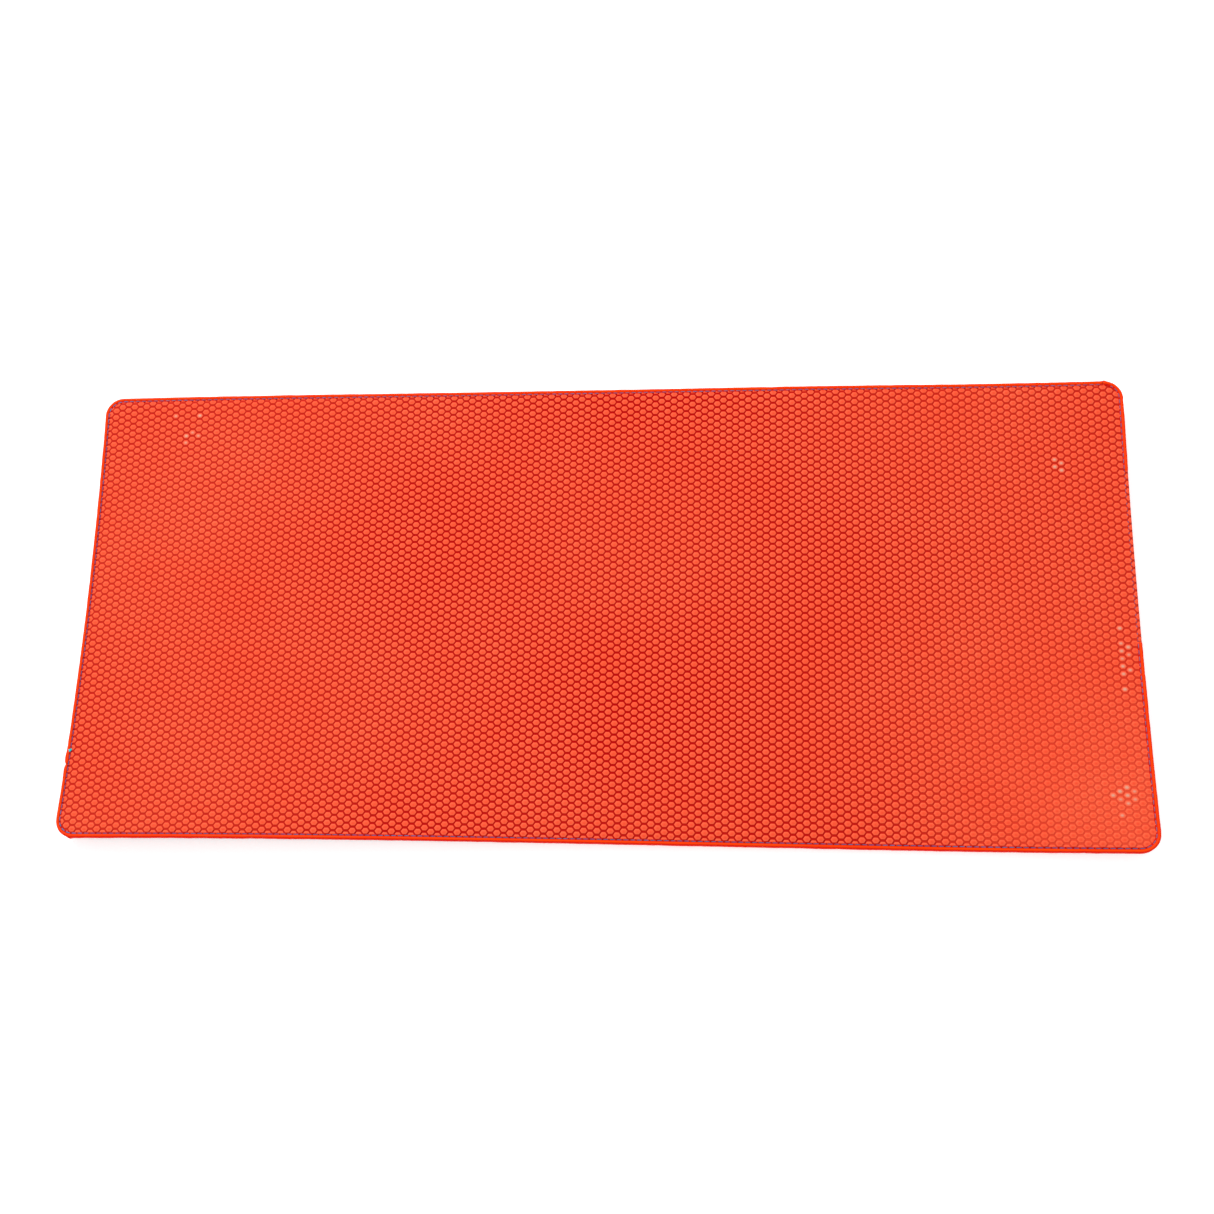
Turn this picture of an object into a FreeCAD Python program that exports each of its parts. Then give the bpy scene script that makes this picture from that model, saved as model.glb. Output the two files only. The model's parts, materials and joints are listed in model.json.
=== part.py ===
import FreeCAD, Part
import math
import os
import Sketcher

# Seedling heat mat: a thin stack of sheets around a serpentine heating wire, closed all round by a
# sewn edge binding. The mat lies flat. Origin: the middle of the underside. +X runs along the
# length, +Y across the width towards the edge with the lead inlet, +Z up. Millimetres.

SIZES = {
    # the whole mat
    "mat_length": 495.0,
    "mat_width": 225.0,
    "corner_radius": 9.0,
    # the sheets, from the bottom up
    "base_skin": 0.6,
    "reflector_skin": 0.1,
    "foam_skin": 1.4,
    "scrim_skin": 0.2,
    "spreader_skin": 0.1,
    "top_skin": 0.8,
    # the edge binding and its seam
    "lip_skin": 0.4,
    "lip_width": 2.4,
    "lip_clear": 0.3,
    "edge_clear": 0.05,
    "rim_round": 0.6,
    "joint_gap": 0.3,
    "far_joint_end": 8.5,
    "left_joint_edge": 35.1,
    "seam_edge": 0.5,
    "thread_width": 0.35,
    "thread_depth": 0.25,
    "knot_radius": 0.6,
    "knot_rise": 0.35,
    "knot_back": 7.0,
    "sheet_clear": 0.3,
    # the heating wire and its leads
    "wire_runs": 14,
    "wire_side": 15.0,
    "wire_end": 22.0,
    "terminal_width": 32.0,
    "wire_diameter": 0.9,
    "core_diameter": 0.4,
    "wire_clear": 0.05,
    "wire_cover": 0.04,
    "splice_length": 6.4,
    "splice_gap": 0.4,
    "crimp_wall": 0.2,
    "sleeve_wall": 0.1,
    "sleeve_overlap": 2.0,
    "fit_clear": 0.01,
    "lead_radius": 3.0,
    "lead_straight": 3.0,
    # the thermal cut-out
    "cutout_length": 11.0,
    "cutout_width": 4.0,
    "cutout_height": 0.9,
    "cutout_tail": 1.0,
    "pocket_clear": 0.1,
    # the lead inlet
    "gland_corner": 15.0,
    "gland_width": 10.0,
    "gland_neck": 0.3,
    "gland_flange": 2.0,
    "gland_step": 2.0,
    "gland_clear": 0.05,
    "bore_pitch": 3.0,
    "bore_clear": 0.05,
    "tail_pocket": 6.0,
}

doc = FreeCAD.newDocument("seedling_heat_mat")
sheet = doc.addObject("Spreadsheet::Sheet", "Sizes")
for row, (alias, number) in enumerate(SIZES.items(), start=1):
    sheet.set(f"A{row}", alias)
    sheet.set(f"B{row}", str(number))
    sheet.setAlias(f"B{row}", alias)
doc.recompute()


class Length:
    """A length as an expression on the sheet, with its number for the first guess of a sketch."""

    def __init__(self, expression, value):
        self.expression = expression
        self.value = value

    def __add__(self, other):
        return Length(f"{self.expression} + {other.expression}", self.value + other.value)

    def __sub__(self, other):
        return Length(f"{self.expression} - ({other.expression})", self.value - other.value)

    def __mul__(self, other):
        return Length(f"({self.expression}) * ({other.expression})", self.value * other.value)

    def __truediv__(self, other):
        return Length(f"({self.expression}) / ({other.expression})", self.value / other.value)

    def __neg__(self):
        return Length(f"-({self.expression})", -self.value)


def size(alias):
    """The sheet's size of that name."""
    return Length(f"Sizes.{alias}", float(sheet.get(alias)))


ZERO = Length("0", 0.0)
ONE = Length("1", 1.0)
TWO = Length("2", 2.0)

# Plan: half sides, and how far each outline stands in from the edge of the mat.
HALF_LENGTH = size("mat_length") / TWO
HALF_WIDTH = size("mat_width") / TWO
EDGE_INSET = size("lip_skin") + size("edge_clear")
MARGIN = size("lip_width") + size("lip_clear")
REFLECTOR_INSET = MARGIN + size("base_skin") + size("sheet_clear")
ELEMENT_INSET = MARGIN + size("top_skin") + size("sheet_clear")
SEAM_INSET = size("lip_width") - size("seam_edge")
FAR_JOINT_X = HALF_LENGTH - size("far_joint_end")
LEFT_JOINT_Y = size("left_joint_edge") - HALF_WIDTH

# Levels, from the underside up.
REFLECTOR_Z = size("base_skin")
FOAM_Z = REFLECTOR_Z + size("reflector_skin")
SCRIM_Z = FOAM_Z + size("foam_skin")
SPREADER_Z = SCRIM_Z + size("scrim_skin")
TOP_Z = SPREADER_Z + size("spreader_skin")
MAT_TOP = TOP_Z + size("top_skin")
MARGIN_FOAM_Z = size("lip_skin") + size("base_skin")
LIP_Z = MAT_TOP - size("lip_skin")

# The wire's plane and the ends of its runs.
WIRE_RADIUS = size("wire_diameter") / TWO
CORE_RADIUS = size("core_diameter") / TWO
SLEEVE_BORE = WIRE_RADIUS + size("fit_clear")
SLEEVE_RADIUS = SLEEVE_BORE + size("sleeve_wall")
WIRE_Z = SCRIM_Z - (SLEEVE_RADIUS + size("wire_cover"))
WIRE_FIELD = size("mat_width") - size("wire_side") * TWO
WIRE_PITCH = WIRE_FIELD / (size("wire_runs") - ONE)
FIRST_RUN_Y = WIRE_FIELD / TWO
RUN_LEFT = size("wire_end") - HALF_LENGTH
RUN_RIGHT = HALF_LENGTH - size("terminal_width")
RUN_LENGTH = RUN_RIGHT - RUN_LEFT
SPLICE_RIGHT = RUN_RIGHT + size("splice_length")
CORE_BORE = CORE_RADIUS + size("fit_clear")
CORE_TAIL = (size("splice_length") - size("splice_gap")) / TWO

# The inlet, the cut-out and the leads between them.
GLAND_X = HALF_LENGTH - size("gland_corner")
LIVE_X = GLAND_X - size("bore_pitch") / TWO
RETURN_X = GLAND_X + size("bore_pitch") / TWO
GLAND_NECK = MARGIN + size("base_skin") + size("gland_neck")
GLAND_DEPTH = GLAND_NECK + size("gland_flange")
GLAND_Z = FOAM_Z + size("foam_skin") / TWO
LEAD_END_Y = HALF_WIDTH - GLAND_DEPTH - size("tail_pocket")
CUTOUT_X = SPLICE_RIGHT + size("lead_straight") + size("lead_radius")
CUTOUT_TOP = FIRST_RUN_Y - size("lead_radius") - size("lead_straight")
CUTOUT_BOTTOM = CUTOUT_TOP - size("cutout_length") - size("cutout_tail") * TWO
TURN_Y = CUTOUT_BOTTOM - size("lead_straight")

LEVEL_WITHIN = 1e-6
NODES = []


def node(shape_object, name):
    """Names an object as one of the mat's pieces."""
    shape_object.Label = name
    NODES.append(shape_object)
    return shape_object


def bind(target, path, length):
    """Ties a property to the sheet."""
    target.setExpression(path, length.expression)


def new_body(name):
    """An empty PartDesign body."""
    return doc.addObject("PartDesign::Body", name)


def new_sketch(body, name, role, offset=ZERO):
    """A sketch on one of the body's own planes, moved along the plane's normal by offset."""
    sketch = body.newObject("Sketcher::SketchObject", name)
    plane = next(feature for feature in body.Origin.OriginFeatures if feature.Role == role)
    sketch.AttachmentSupport = [(plane, "")]
    sketch.MapMode = "FlatFace"
    bind(sketch, "AttachmentOffset.Base.z", offset)
    return sketch


def constrain(sketch, length, *constraint):
    """Adds a constraint whose value is tied to the sheet."""
    index = sketch.addConstraint(Sketcher.Constraint(*constraint, length.value))
    bind(sketch, f"Constraints[{index}]", length)


def place(sketch, geometry, point, across, up):
    """Ties a point of the geometry to its distances from the sketch's origin."""
    constrain(sketch, across, "DistanceX", -1, 1, geometry, point)
    constrain(sketch, up, "DistanceY", -1, 1, geometry, point)


def vector(across, up):
    """A point of a sketch from two lengths."""
    return FreeCAD.Vector(across.value, up.value, 0)


def segment(sketch, start, end):
    """A straight line between two points given as pairs of lengths, not yet constrained."""
    return sketch.addGeometry(Part.LineSegment(vector(*start), vector(*end)), False)


def rounded_outline(sketch, inset):
    """The mat's outline, set in by inset all round, with its corners concentric to the mat's."""
    radius = size("corner_radius") - inset
    centre_x = HALF_LENGTH - size("corner_radius")
    centre_y = HALF_WIDTH - size("corner_radius")
    arcs = []
    for quarter, (east, north) in enumerate(((1, 1), (-1, 1), (-1, -1), (1, -1))):
        centre = FreeCAD.Vector(east * centre_x.value, north * centre_y.value, 0)
        ring = Part.Circle(centre, FreeCAD.Vector(0, 0, 1), radius.value)
        start = math.radians(90 * quarter)
        arcs.append(sketch.addGeometry(Part.ArcOfCircle(ring, start, start + math.pi / 2), False))
    for quarter, arc in enumerate(arcs):
        following = arcs[(quarter + 1) % 4]
        side = sketch.addGeometry(
            Part.LineSegment(sketch.getPoint(arc, 2), sketch.getPoint(following, 1)), False
        )
        sketch.addConstraint(Sketcher.Constraint("Tangent", arc, 2, side, 1))
        sketch.addConstraint(Sketcher.Constraint("Tangent", side, 2, following, 1))
        direction = "Horizontal" if quarter % 2 == 0 else "Vertical"
        sketch.addConstraint(Sketcher.Constraint(direction, side))
    for arc in arcs[1:]:
        sketch.addConstraint(Sketcher.Constraint("Equal", arcs[0], arc))
    sketch.addConstraint(Sketcher.Constraint("Symmetric", arcs[0], 3, arcs[2], 3, -1, 1))
    constrain(sketch, radius, "Radius", arcs[0])
    place(sketch, arcs[0], 3, centre_x, centre_y)


def rectangle(sketch, west, east, south, north):
    """A rectangle between four lengths measured from the sketch's origin."""
    corners = ((west, south), (east, south), (east, north), (west, north))
    sides = [segment(sketch, corners[i], corners[(i + 1) % 4]) for i in range(4)]
    for index, side in enumerate(sides):
        following = sides[(index + 1) % 4]
        sketch.addConstraint(Sketcher.Constraint("Coincident", side, 2, following, 1))
        sketch.addConstraint(Sketcher.Constraint("Horizontal" if index % 2 == 0 else "Vertical", side))
    place(sketch, sides[0], 1, west, south)
    place(sketch, sides[2], 1, east, north)


def circle(sketch, across, up, radius):
    """A full circle at a point given by two lengths."""
    ring = Part.Circle(vector(across, up), FreeCAD.Vector(0, 0, 1), radius.value)
    index = sketch.addGeometry(ring, False)
    place(sketch, index, 3, across, up)
    constrain(sketch, radius, "Radius", index)


def pad(body, sketch, length, backwards=False):
    """Raises a sketch along its normal, or against it."""
    feature = body.newObject("PartDesign::Pad", f"{sketch.Name}_pad")
    feature.Profile = sketch
    feature.Reversed = backwards
    bind(feature, "Length", length)
    body.Tip = feature
    doc.recompute()
    return feature


def pocket(body, sketch, length, upwards=False):
    """Cuts a sketch into the body, below the sketch or above it, and checks that it took something off."""
    before = body.Shape.Volume
    feature = body.newObject("PartDesign::Pocket", f"{sketch.Name}_pocket")
    feature.Profile = sketch
    feature.Reversed = upwards
    bind(feature, "Length", length)
    body.Tip = feature
    doc.recompute()
    if not body.Shape.Volume < before:
        raise RuntimeError(f"{feature.Name} cut nothing")
    return feature


def repeat(body, feature, span, count):
    """Repeats a feature that starts on the YZ plane along -Y, over the span."""
    pattern = body.newObject("PartDesign::LinearPattern", f"{feature.Name}_row")
    pattern.Originals = [feature]
    pattern.Direction = (feature.Profile[0], ["H_Axis"])
    pattern.Reversed = True
    bind(pattern, "Length", span)
    bind(pattern, "Occurrences", count)
    body.Tip = pattern
    doc.recompute()


def fuse(name, parts):
    """Several solids joined into one."""
    joined = doc.addObject("Part::MultiFuse", name)
    joined.Shapes = parts
    return joined


def cut(name, base, tool):
    """One solid less another, checked to have taken something off."""
    result = doc.addObject("Part::Cut", name)
    result.Base = base
    result.Tool = tool
    doc.recompute()
    if not result.Shape.Volume < base.Shape.Volume:
        raise RuntimeError(f"{name} cut nothing")
    return result


def box(name, west, east, south, north, bottom, top):
    """A block between six lengths."""
    block = doc.addObject("Part::Box", name)
    bind(block, "Length", east - west)
    bind(block, "Width", north - south)
    bind(block, "Height", top - bottom)
    bind(block, "Placement.Base.x", west)
    bind(block, "Placement.Base.y", south)
    bind(block, "Placement.Base.z", bottom)
    return block


def plate(name, inset, bottom, thickness):
    """A flat sheet with the mat's outline, set in by inset."""
    body = new_body(name)
    outline = new_sketch(body, f"{name}_outline", "XY_Plane", bottom)
    rounded_outline(outline, inset)
    pad(body, outline, thickness)
    return body


def frame(body, name, outer, inner, bottom, thickness):
    """Adds a closed frame between two insets to a body."""
    outline = new_sketch(body, name, "XY_Plane", bottom)
    rounded_outline(outline, outer)
    rounded_outline(outline, inner)
    return pad(body, outline, thickness)


# ---- sheets -------------------------------------------------------------------------------


def base_cover():
    """The underside sheet: its margin is joggled up over the lower lip and notched for the inlet."""
    body = plate("base_cover", MARGIN, ZERO, size("base_skin"))
    frame(body, "base_margin", EDGE_INSET, MARGIN + size("base_skin"), size("lip_skin"), size("base_skin"))
    notch = new_sketch(body, "base_notch", "XY_Plane", FOAM_Z)
    half = size("gland_width") / TWO + size("gland_clear")
    rectangle(notch, GLAND_X - half, GLAND_X + half, HALF_WIDTH - GLAND_NECK, HALF_WIDTH)
    pocket(body, notch, MARGIN_FOAM_Z, upwards=True)
    return node(body, "base_cover")


def top_cover():
    """The embossed upper sheet: its margin is joggled down under the upper lip."""
    body = plate("top_cover", MARGIN, TOP_Z, size("top_skin"))
    frame(body, "top_margin", EDGE_INSET, MARGIN + size("top_skin"), SCRIM_Z, LIP_Z - SCRIM_Z)
    return node(body, "top_cover")


def inner_sheets():
    """The reflector under the foam, and the scrim and heat spreader over it."""
    sheets = (
        ("reflector_film", REFLECTOR_INSET, REFLECTOR_Z, size("reflector_skin")),
        ("element_scrim", ELEMENT_INSET, SCRIM_Z, size("scrim_skin")),
        ("heat_spreader_foil", ELEMENT_INSET, SPREADER_Z, size("spreader_skin")),
    )
    for name, inset, bottom, thickness in sheets:
        node(plate(name, inset, bottom, thickness), name)


# ---- wire ---------------------------------------------------------------------------------


def solid_round(radius):
    """Draws the section of a solid wire."""

    def draw(sketch, across, up):
        circle(sketch, across, up, radius)

    return draw


def hollow_round(outer, inner):
    """Draws the section of a tube."""

    def draw(sketch, across, up):
        circle(sketch, across, up, outer)
        circle(sketch, across, up, inner)

    return draw


def open_channel(half):
    """Draws the section of a channel that is open at the foam's upper face."""

    def draw(sketch, across, up):
        rectangle(sketch, across - half, across + half, up - half, SPREADER_Z)

    return draw


def straight(body, name, draw, role, offset, across, length, backwards=False):
    """A straight stretch of wire: the section is drawn on a plane and raised along its normal."""
    section = new_sketch(body, name, role, offset)
    draw(section, across, WIRE_Z)
    return pad(body, section, length, backwards)


def turn(body, name, draw, role, offset, across, reach, angle, backwards=False):
    """A bend of the wire about an upright axis that stands reach away from its start."""
    section = new_sketch(body, name, role, offset)
    draw(section, across, WIRE_Z)
    middle = across + reach
    axis = segment(section, (middle, ZERO), (middle, WIRE_Z))
    section.toggleConstruction(axis)
    place(section, axis, 1, middle, ZERO)
    place(section, axis, 2, middle, WIRE_Z)
    bend = body.newObject("PartDesign::Revolution", f"{name}_bend")
    bend.Profile = section
    bend.ReferenceAxis = (section, ["Axis0"])
    bend.Angle = angle
    bend.Reversed = backwards
    body.Tip = bend
    doc.recompute()
    return bend


def serpentine(name, draw):
    """A body along the heating wire: straight runs along X, joined by half-round bends at both ends."""
    body = new_body(name)
    run = straight(body, f"{name}_run", draw, "YZ_Plane", RUN_LEFT, FIRST_RUN_Y, RUN_LENGTH)
    repeat(body, run, WIRE_FIELD, size("wire_runs"))
    reach = -(WIRE_PITCH / TWO)
    left_count = size("wire_runs") / TWO
    right_count = left_count - ONE
    second_run_y = FIRST_RUN_Y - WIRE_PITCH
    ends = (("left", RUN_LEFT, FIRST_RUN_Y, left_count), ("right", RUN_RIGHT, second_run_y, right_count))
    for side, end_x, first_y, count in ends:
        bend = turn(
            body, f"{name}_{side}", draw, "YZ_Plane", end_x, first_y, reach, 180, side == "right"
        )
        repeat(body, bend, WIRE_PITCH * TWO * (count - ONE), count)
    return body


def heating_wire():
    """The resistance core, bared at both ends for its crimps, and the jacket around it."""
    core = serpentine("heating_wire_core", solid_round(CORE_RADIUS))
    tails = new_sketch(core, "core_tails", "YZ_Plane", RUN_RIGHT)
    for run_y in (FIRST_RUN_Y, -FIRST_RUN_Y):
        circle(tails, run_y, WIRE_Z, CORE_RADIUS)
    pad(core, tails, CORE_TAIL)
    node(core, "heating_wire_core")
    node(serpentine("heating_wire_jacket", hollow_round(WIRE_RADIUS, CORE_BORE)), "heating_wire_jacket")


def tube_along_run(name, run_y, west, length, outer, inner):
    """A short tube on the axis of a run."""
    body = new_body(name)
    straight(body, f"{name}_section", hollow_round(outer, inner), "YZ_Plane", west, run_y, length)
    return node(body, name)


def splices():
    """A crimp tube and a shrunk sleeve at each end of the heating wire."""
    overlap = size("sleeve_overlap")
    gap = size("splice_gap")
    for end, run_y in (("start", FIRST_RUN_Y), ("end", -FIRST_RUN_Y)):
        crimp = size("splice_length") - gap
        sleeve = size("splice_length") + overlap * TWO
        tube_along_run(
            f"{end}_crimp", run_y, RUN_RIGHT + gap / TWO, crimp, CORE_BORE + size("crimp_wall"), CORE_BORE
        )
        tube_along_run(
            f"{end}_splice_sleeve", run_y, RUN_RIGHT - overlap, sleeve, SLEEVE_RADIUS, SLEEVE_BORE
        )


# ---- leads --------------------------------------------------------------------------------


def link_lead(name, draw, start_tail, end_tail):
    """From the first splice to the cut-out: right, then a quarter turn towards -Y."""
    body = new_body(name)
    radius = size("lead_radius")
    start_x = SPLICE_RIGHT - start_tail
    turn_x = CUTOUT_X - radius
    straight(body, f"{name}_out", draw, "YZ_Plane", start_x, FIRST_RUN_Y, turn_x - start_x)
    turn(body, f"{name}_corner", draw, "YZ_Plane", turn_x, FIRST_RUN_Y, -radius, 90, True)
    down_y = FIRST_RUN_Y - radius
    straight(body, f"{name}_down", draw, "XZ_Plane", -down_y, CUTOUT_X, down_y - CUTOUT_TOP + end_tail)
    return body


def live_lead(name, draw, start_tail, end_tail):
    """From the cut-out to the inlet: towards -Y, a half turn, then back towards +Y."""
    body = new_body(name)
    start_y = CUTOUT_BOTTOM + start_tail
    straight(body, f"{name}_down", draw, "XZ_Plane", -start_y, CUTOUT_X, start_y - TURN_Y)
    turn(body, f"{name}_back", draw, "XZ_Plane", -TURN_Y, CUTOUT_X, (LIVE_X - CUTOUT_X) / TWO, 180)
    rise = LEAD_END_Y - TURN_Y + end_tail
    straight(body, f"{name}_up", draw, "XZ_Plane", -TURN_Y, LIVE_X, rise, True)
    return body


def return_lead(name, draw, start_tail, end_tail):
    """From the last splice to the inlet: right, a quarter turn, then up the end of the mat."""
    body = new_body(name)
    radius = size("lead_radius")
    last_run_y = -FIRST_RUN_Y
    start_x = SPLICE_RIGHT - start_tail
    turn_x = RETURN_X - radius
    straight(body, f"{name}_out", draw, "YZ_Plane", start_x, last_run_y, turn_x - start_x)
    turn(body, f"{name}_corner", draw, "YZ_Plane", turn_x, last_run_y, radius, 90)
    up_y = last_run_y + radius
    rise = LEAD_END_Y - up_y + end_tail
    straight(body, f"{name}_up", draw, "XZ_Plane", -up_y, RETURN_X, rise, True)
    return body


LEADS = {
    "link_lead": (link_lead, CORE_TAIL, size("cutout_tail")),
    "live_lead": (live_lead, size("cutout_tail"), CORE_TAIL),
    "return_lead": (return_lead, CORE_TAIL, CORE_TAIL),
}


def leads():
    """Each lead's insulation, and its conductor, which is bared at both ends."""
    for name, (route, start_tail, end_tail) in LEADS.items():
        insulation = hollow_round(WIRE_RADIUS, CORE_BORE)
        node(route(f"{name}_insulation", insulation, ZERO, ZERO), f"{name}_insulation")
        conductor = solid_round(CORE_RADIUS)
        node(route(f"{name}_conductor", conductor, start_tail, end_tail), f"{name}_conductor")


def thermal_cutout():
    """The cut-out's case, and the open-ended sleeve that insulates it."""
    half_width = size("cutout_width") / TWO
    half_height = size("cutout_height") / TWO
    wall = size("sleeve_wall")
    west, east = CUTOUT_X - half_width, CUTOUT_X + half_width
    low, high = WIRE_Z - half_height, WIRE_Z + half_height
    case_south = CUTOUT_BOTTOM + size("cutout_tail")
    case_north = CUTOUT_TOP - size("cutout_tail")
    node(box("thermal_cutout", west, east, case_south, case_north, low, high), "thermal_cutout")
    outside = box(
        "sleeve_outside", west - wall, east + wall, CUTOUT_BOTTOM, CUTOUT_TOP, low - wall, high + wall
    )
    inside = box("sleeve_inside", west, east, CUTOUT_BOTTOM - wall, CUTOUT_TOP + wall, low, high)
    node(cut("cutout_sleeve", outside, inside), "cutout_sleeve")


def inlet_gland():
    """A flat moulded insert in the edge: a neck, a wider flange that holds it in, and two lead bores."""
    body = new_body("inlet_gland")
    clear = size("gland_clear")
    half = size("gland_width") / TWO
    wide = half + size("gland_step")
    shoulder_y = HALF_WIDTH - GLAND_NECK
    height = size("foam_skin") - clear * TWO
    plan = new_sketch(body, "gland_neck", "XY_Plane", FOAM_Z + clear)
    rectangle(plan, GLAND_X - half, GLAND_X + half, shoulder_y, HALF_WIDTH)
    pad(body, plan, height)
    flange = new_sketch(body, "gland_flange", "XY_Plane", FOAM_Z + clear)
    rectangle(flange, GLAND_X - wide, GLAND_X + wide, HALF_WIDTH - GLAND_DEPTH, shoulder_y)
    pad(body, flange, height)
    bores = new_sketch(body, "gland_bores", "XZ_Plane", -HALF_WIDTH)
    for bore_x in (LIVE_X, RETURN_X):
        circle(bores, bore_x, GLAND_Z, WIRE_RADIUS + size("bore_clear"))
    pocket(body, bores, GLAND_DEPTH, upwards=True)
    return node(body, "inlet_gland")


# ---- foam ---------------------------------------------------------------------------------


def foam_hollows():
    """The channels and pockets that the foam has for everything that lies in it."""
    half = WIRE_RADIUS + size("wire_clear")
    channel = open_channel(half)
    hollows = [serpentine("wire_channel", channel)]
    for name, (route, start_tail, end_tail) in LEADS.items():
        hollows.append(route(f"{name}_channel", channel, start_tail, end_tail))
    clear = size("pocket_clear")
    overlap = size("sleeve_overlap") + clear
    around = SLEEVE_RADIUS + size("wire_clear")
    roof = SPREADER_Z
    for end, run_y in (("start", FIRST_RUN_Y), ("end", -FIRST_RUN_Y)):
        hollows.append(
            box(
                f"{end}_splice_pocket",
                RUN_RIGHT - overlap,
                SPLICE_RIGHT + overlap,
                run_y - around,
                run_y + around,
                WIRE_Z - around,
                roof,
            )
        )
    beside = size("cutout_width") / TWO + size("sleeve_wall") + clear
    below = size("cutout_height") / TWO + size("sleeve_wall") + size("wire_clear")
    south, north = CUTOUT_BOTTOM - clear, CUTOUT_TOP + clear
    hollows.append(
        box("cutout_pocket", CUTOUT_X - beside, CUTOUT_X + beside, south, north, WIRE_Z - below, roof)
    )
    neck = size("gland_width") / TWO + size("gland_clear")
    flange = neck + size("gland_step")
    inner_y = HALF_WIDTH - GLAND_DEPTH - size("gland_clear")
    shoulder_y = HALF_WIDTH - GLAND_NECK + size("gland_clear")
    through = REFLECTOR_Z
    hollows.append(box("neck_pocket", GLAND_X - neck, GLAND_X + neck, inner_y, HALF_WIDTH, through, roof))
    hollows.append(
        box("flange_pocket", GLAND_X - flange, GLAND_X + flange, inner_y, shoulder_y, through, roof)
    )
    hollows.append(
        box("tail_pocket", LIVE_X - half, RETURN_X + half, LEAD_END_Y, HALF_WIDTH, WIRE_Z - half, roof)
    )
    return hollows


def insulation_foam():
    """The foam under the wire: rebated under its margin, channelled for the wire and its fittings."""
    blank = plate("foam_blank", EDGE_INSET, MARGIN_FOAM_Z, SCRIM_Z - MARGIN_FOAM_Z)
    middle = new_sketch(blank, "foam_middle", "XY_Plane", FOAM_Z)
    rounded_outline(middle, REFLECTOR_INSET)
    pad(blank, middle, size("foam_skin"))
    hollows = fuse("foam_hollows", foam_hollows())
    return node(cut("insulation_foam", blank, hollows), "insulation_foam")


# ---- edge ---------------------------------------------------------------------------------


def seam_frame(name, bottom, width, depth):
    """A closed frame along the seam."""
    body = new_body(name)
    half = width / TWO
    frame(body, f"{name}_line", SEAM_INSET - half, SEAM_INSET + half, bottom, depth)
    return body


def seam():
    """The needle thread above, the bobbin thread below, and the knot where they are tied off."""
    width, depth = size("thread_width"), size("thread_depth")
    node(seam_frame("needle_thread", MAT_TOP - depth, width, depth), "needle_thread")
    node(seam_frame("bobbin_thread", ZERO, width, depth), "bobbin_thread")
    knot = doc.addObject("Part::Ellipsoid", "seam_knot")
    bind(knot, "Radius1", size("knot_rise"))
    bind(knot, "Radius2", size("knot_radius"))
    bind(knot, "Radius3", size("knot_radius"))
    bind(knot, "Placement.Base.x", SEAM_INSET - HALF_LENGTH)
    bind(knot, "Placement.Base.y", LEFT_JOINT_Y + size("knot_back"))
    bind(knot, "Placement.Base.z", MAT_TOP + size("knot_rise"))
    node(knot, "seam_knot")


def rounded_blank():
    """The solid that the binding's outside follows: the mat's outline with its long edges rounded."""
    body = plate("binding_blank", ZERO, ZERO, MAT_TOP)
    blank = body.Tip
    level = []
    for index, edge in enumerate(blank.Shape.Edges, start=1):
        if edge.BoundBox.ZLength < LEVEL_WITHIN:
            level.append(f"Edge{index}")
    rounding = body.newObject("PartDesign::Fillet", "rim_rounding")
    rounding.Base = (blank, level)
    bind(rounding, "Radius", size("rim_round"))
    body.Tip = rounding
    doc.recompute()
    return body


def edge_binding():
    """The binding, a folded strip with a lip above and below, sewn on in two lengths."""
    lip = size("lip_skin")
    groove = size("thread_width") + size("fit_clear") * TWO
    depth = size("thread_depth")
    neck = size("gland_width") / TWO + size("gland_clear")
    hollows = [
        plate("binding_cavity", lip, lip, MAT_TOP - lip * TWO),
        plate("binding_opening", size("lip_width"), -lip, MAT_TOP + lip * TWO),
        seam_frame("upper_groove", MAT_TOP - depth, groove, depth + lip),
        seam_frame("lower_groove", -lip, groove, depth + lip),
        box(
            "inlet_window", GLAND_X - neck, GLAND_X + neck, HALF_WIDTH - lip * TWO, HALF_WIDTH + lip,
            FOAM_Z, SCRIM_Z,
        ),
    ]
    ring = cut("binding_ring", rounded_blank(), fuse("binding_hollows", hollows))
    half_gap = size("joint_gap") / TWO
    past = size("lip_width")
    far_x, left_y = FAR_JOINT_X, LEFT_JOINT_Y
    west, east = -HALF_LENGTH - past, HALF_LENGTH + past
    south, north = -HALF_WIDTH - past, HALF_WIDTH + past
    low, high = -lip, MAT_TOP + lip
    inner_west = past - HALF_LENGTH + lip
    far_region = fuse(
        "far_region",
        [
            box("far_region_edge", west, far_x + half_gap, ZERO, north, low, high),
            box("far_region_end", west, inner_west, left_y - half_gap, past, low, high),
        ],
    )
    near_region = fuse(
        "near_region",
        [
            box("near_region_corner", far_x - half_gap, east, ZERO, north, low, high),
            box("near_region_end", inner_west, east, left_y, past, low, high),
            box("near_region_edge", west, east, south, left_y + half_gap, low, high),
        ],
    )
    node(cut("far_edge_binding", ring, near_region), "far_edge_binding")
    node(cut("near_edge_binding", ring, far_region), "near_edge_binding")


# ---- the whole mat ------------------------------------------------------------------------


def check():
    """Stops if any object failed or any piece is not one valid solid."""
    doc.recompute()
    for item in doc.Objects:
        if "Invalid" in item.State or "Error" in item.State:
            raise RuntimeError(f"{item.Name} failed: {item.State}")
    for piece in NODES:
        shape = piece.Shape
        if shape.isNull() or not shape.isValid() or len(shape.Solids) != 1:
            raise RuntimeError(f"{piece.Label} is not one valid solid")


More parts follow.
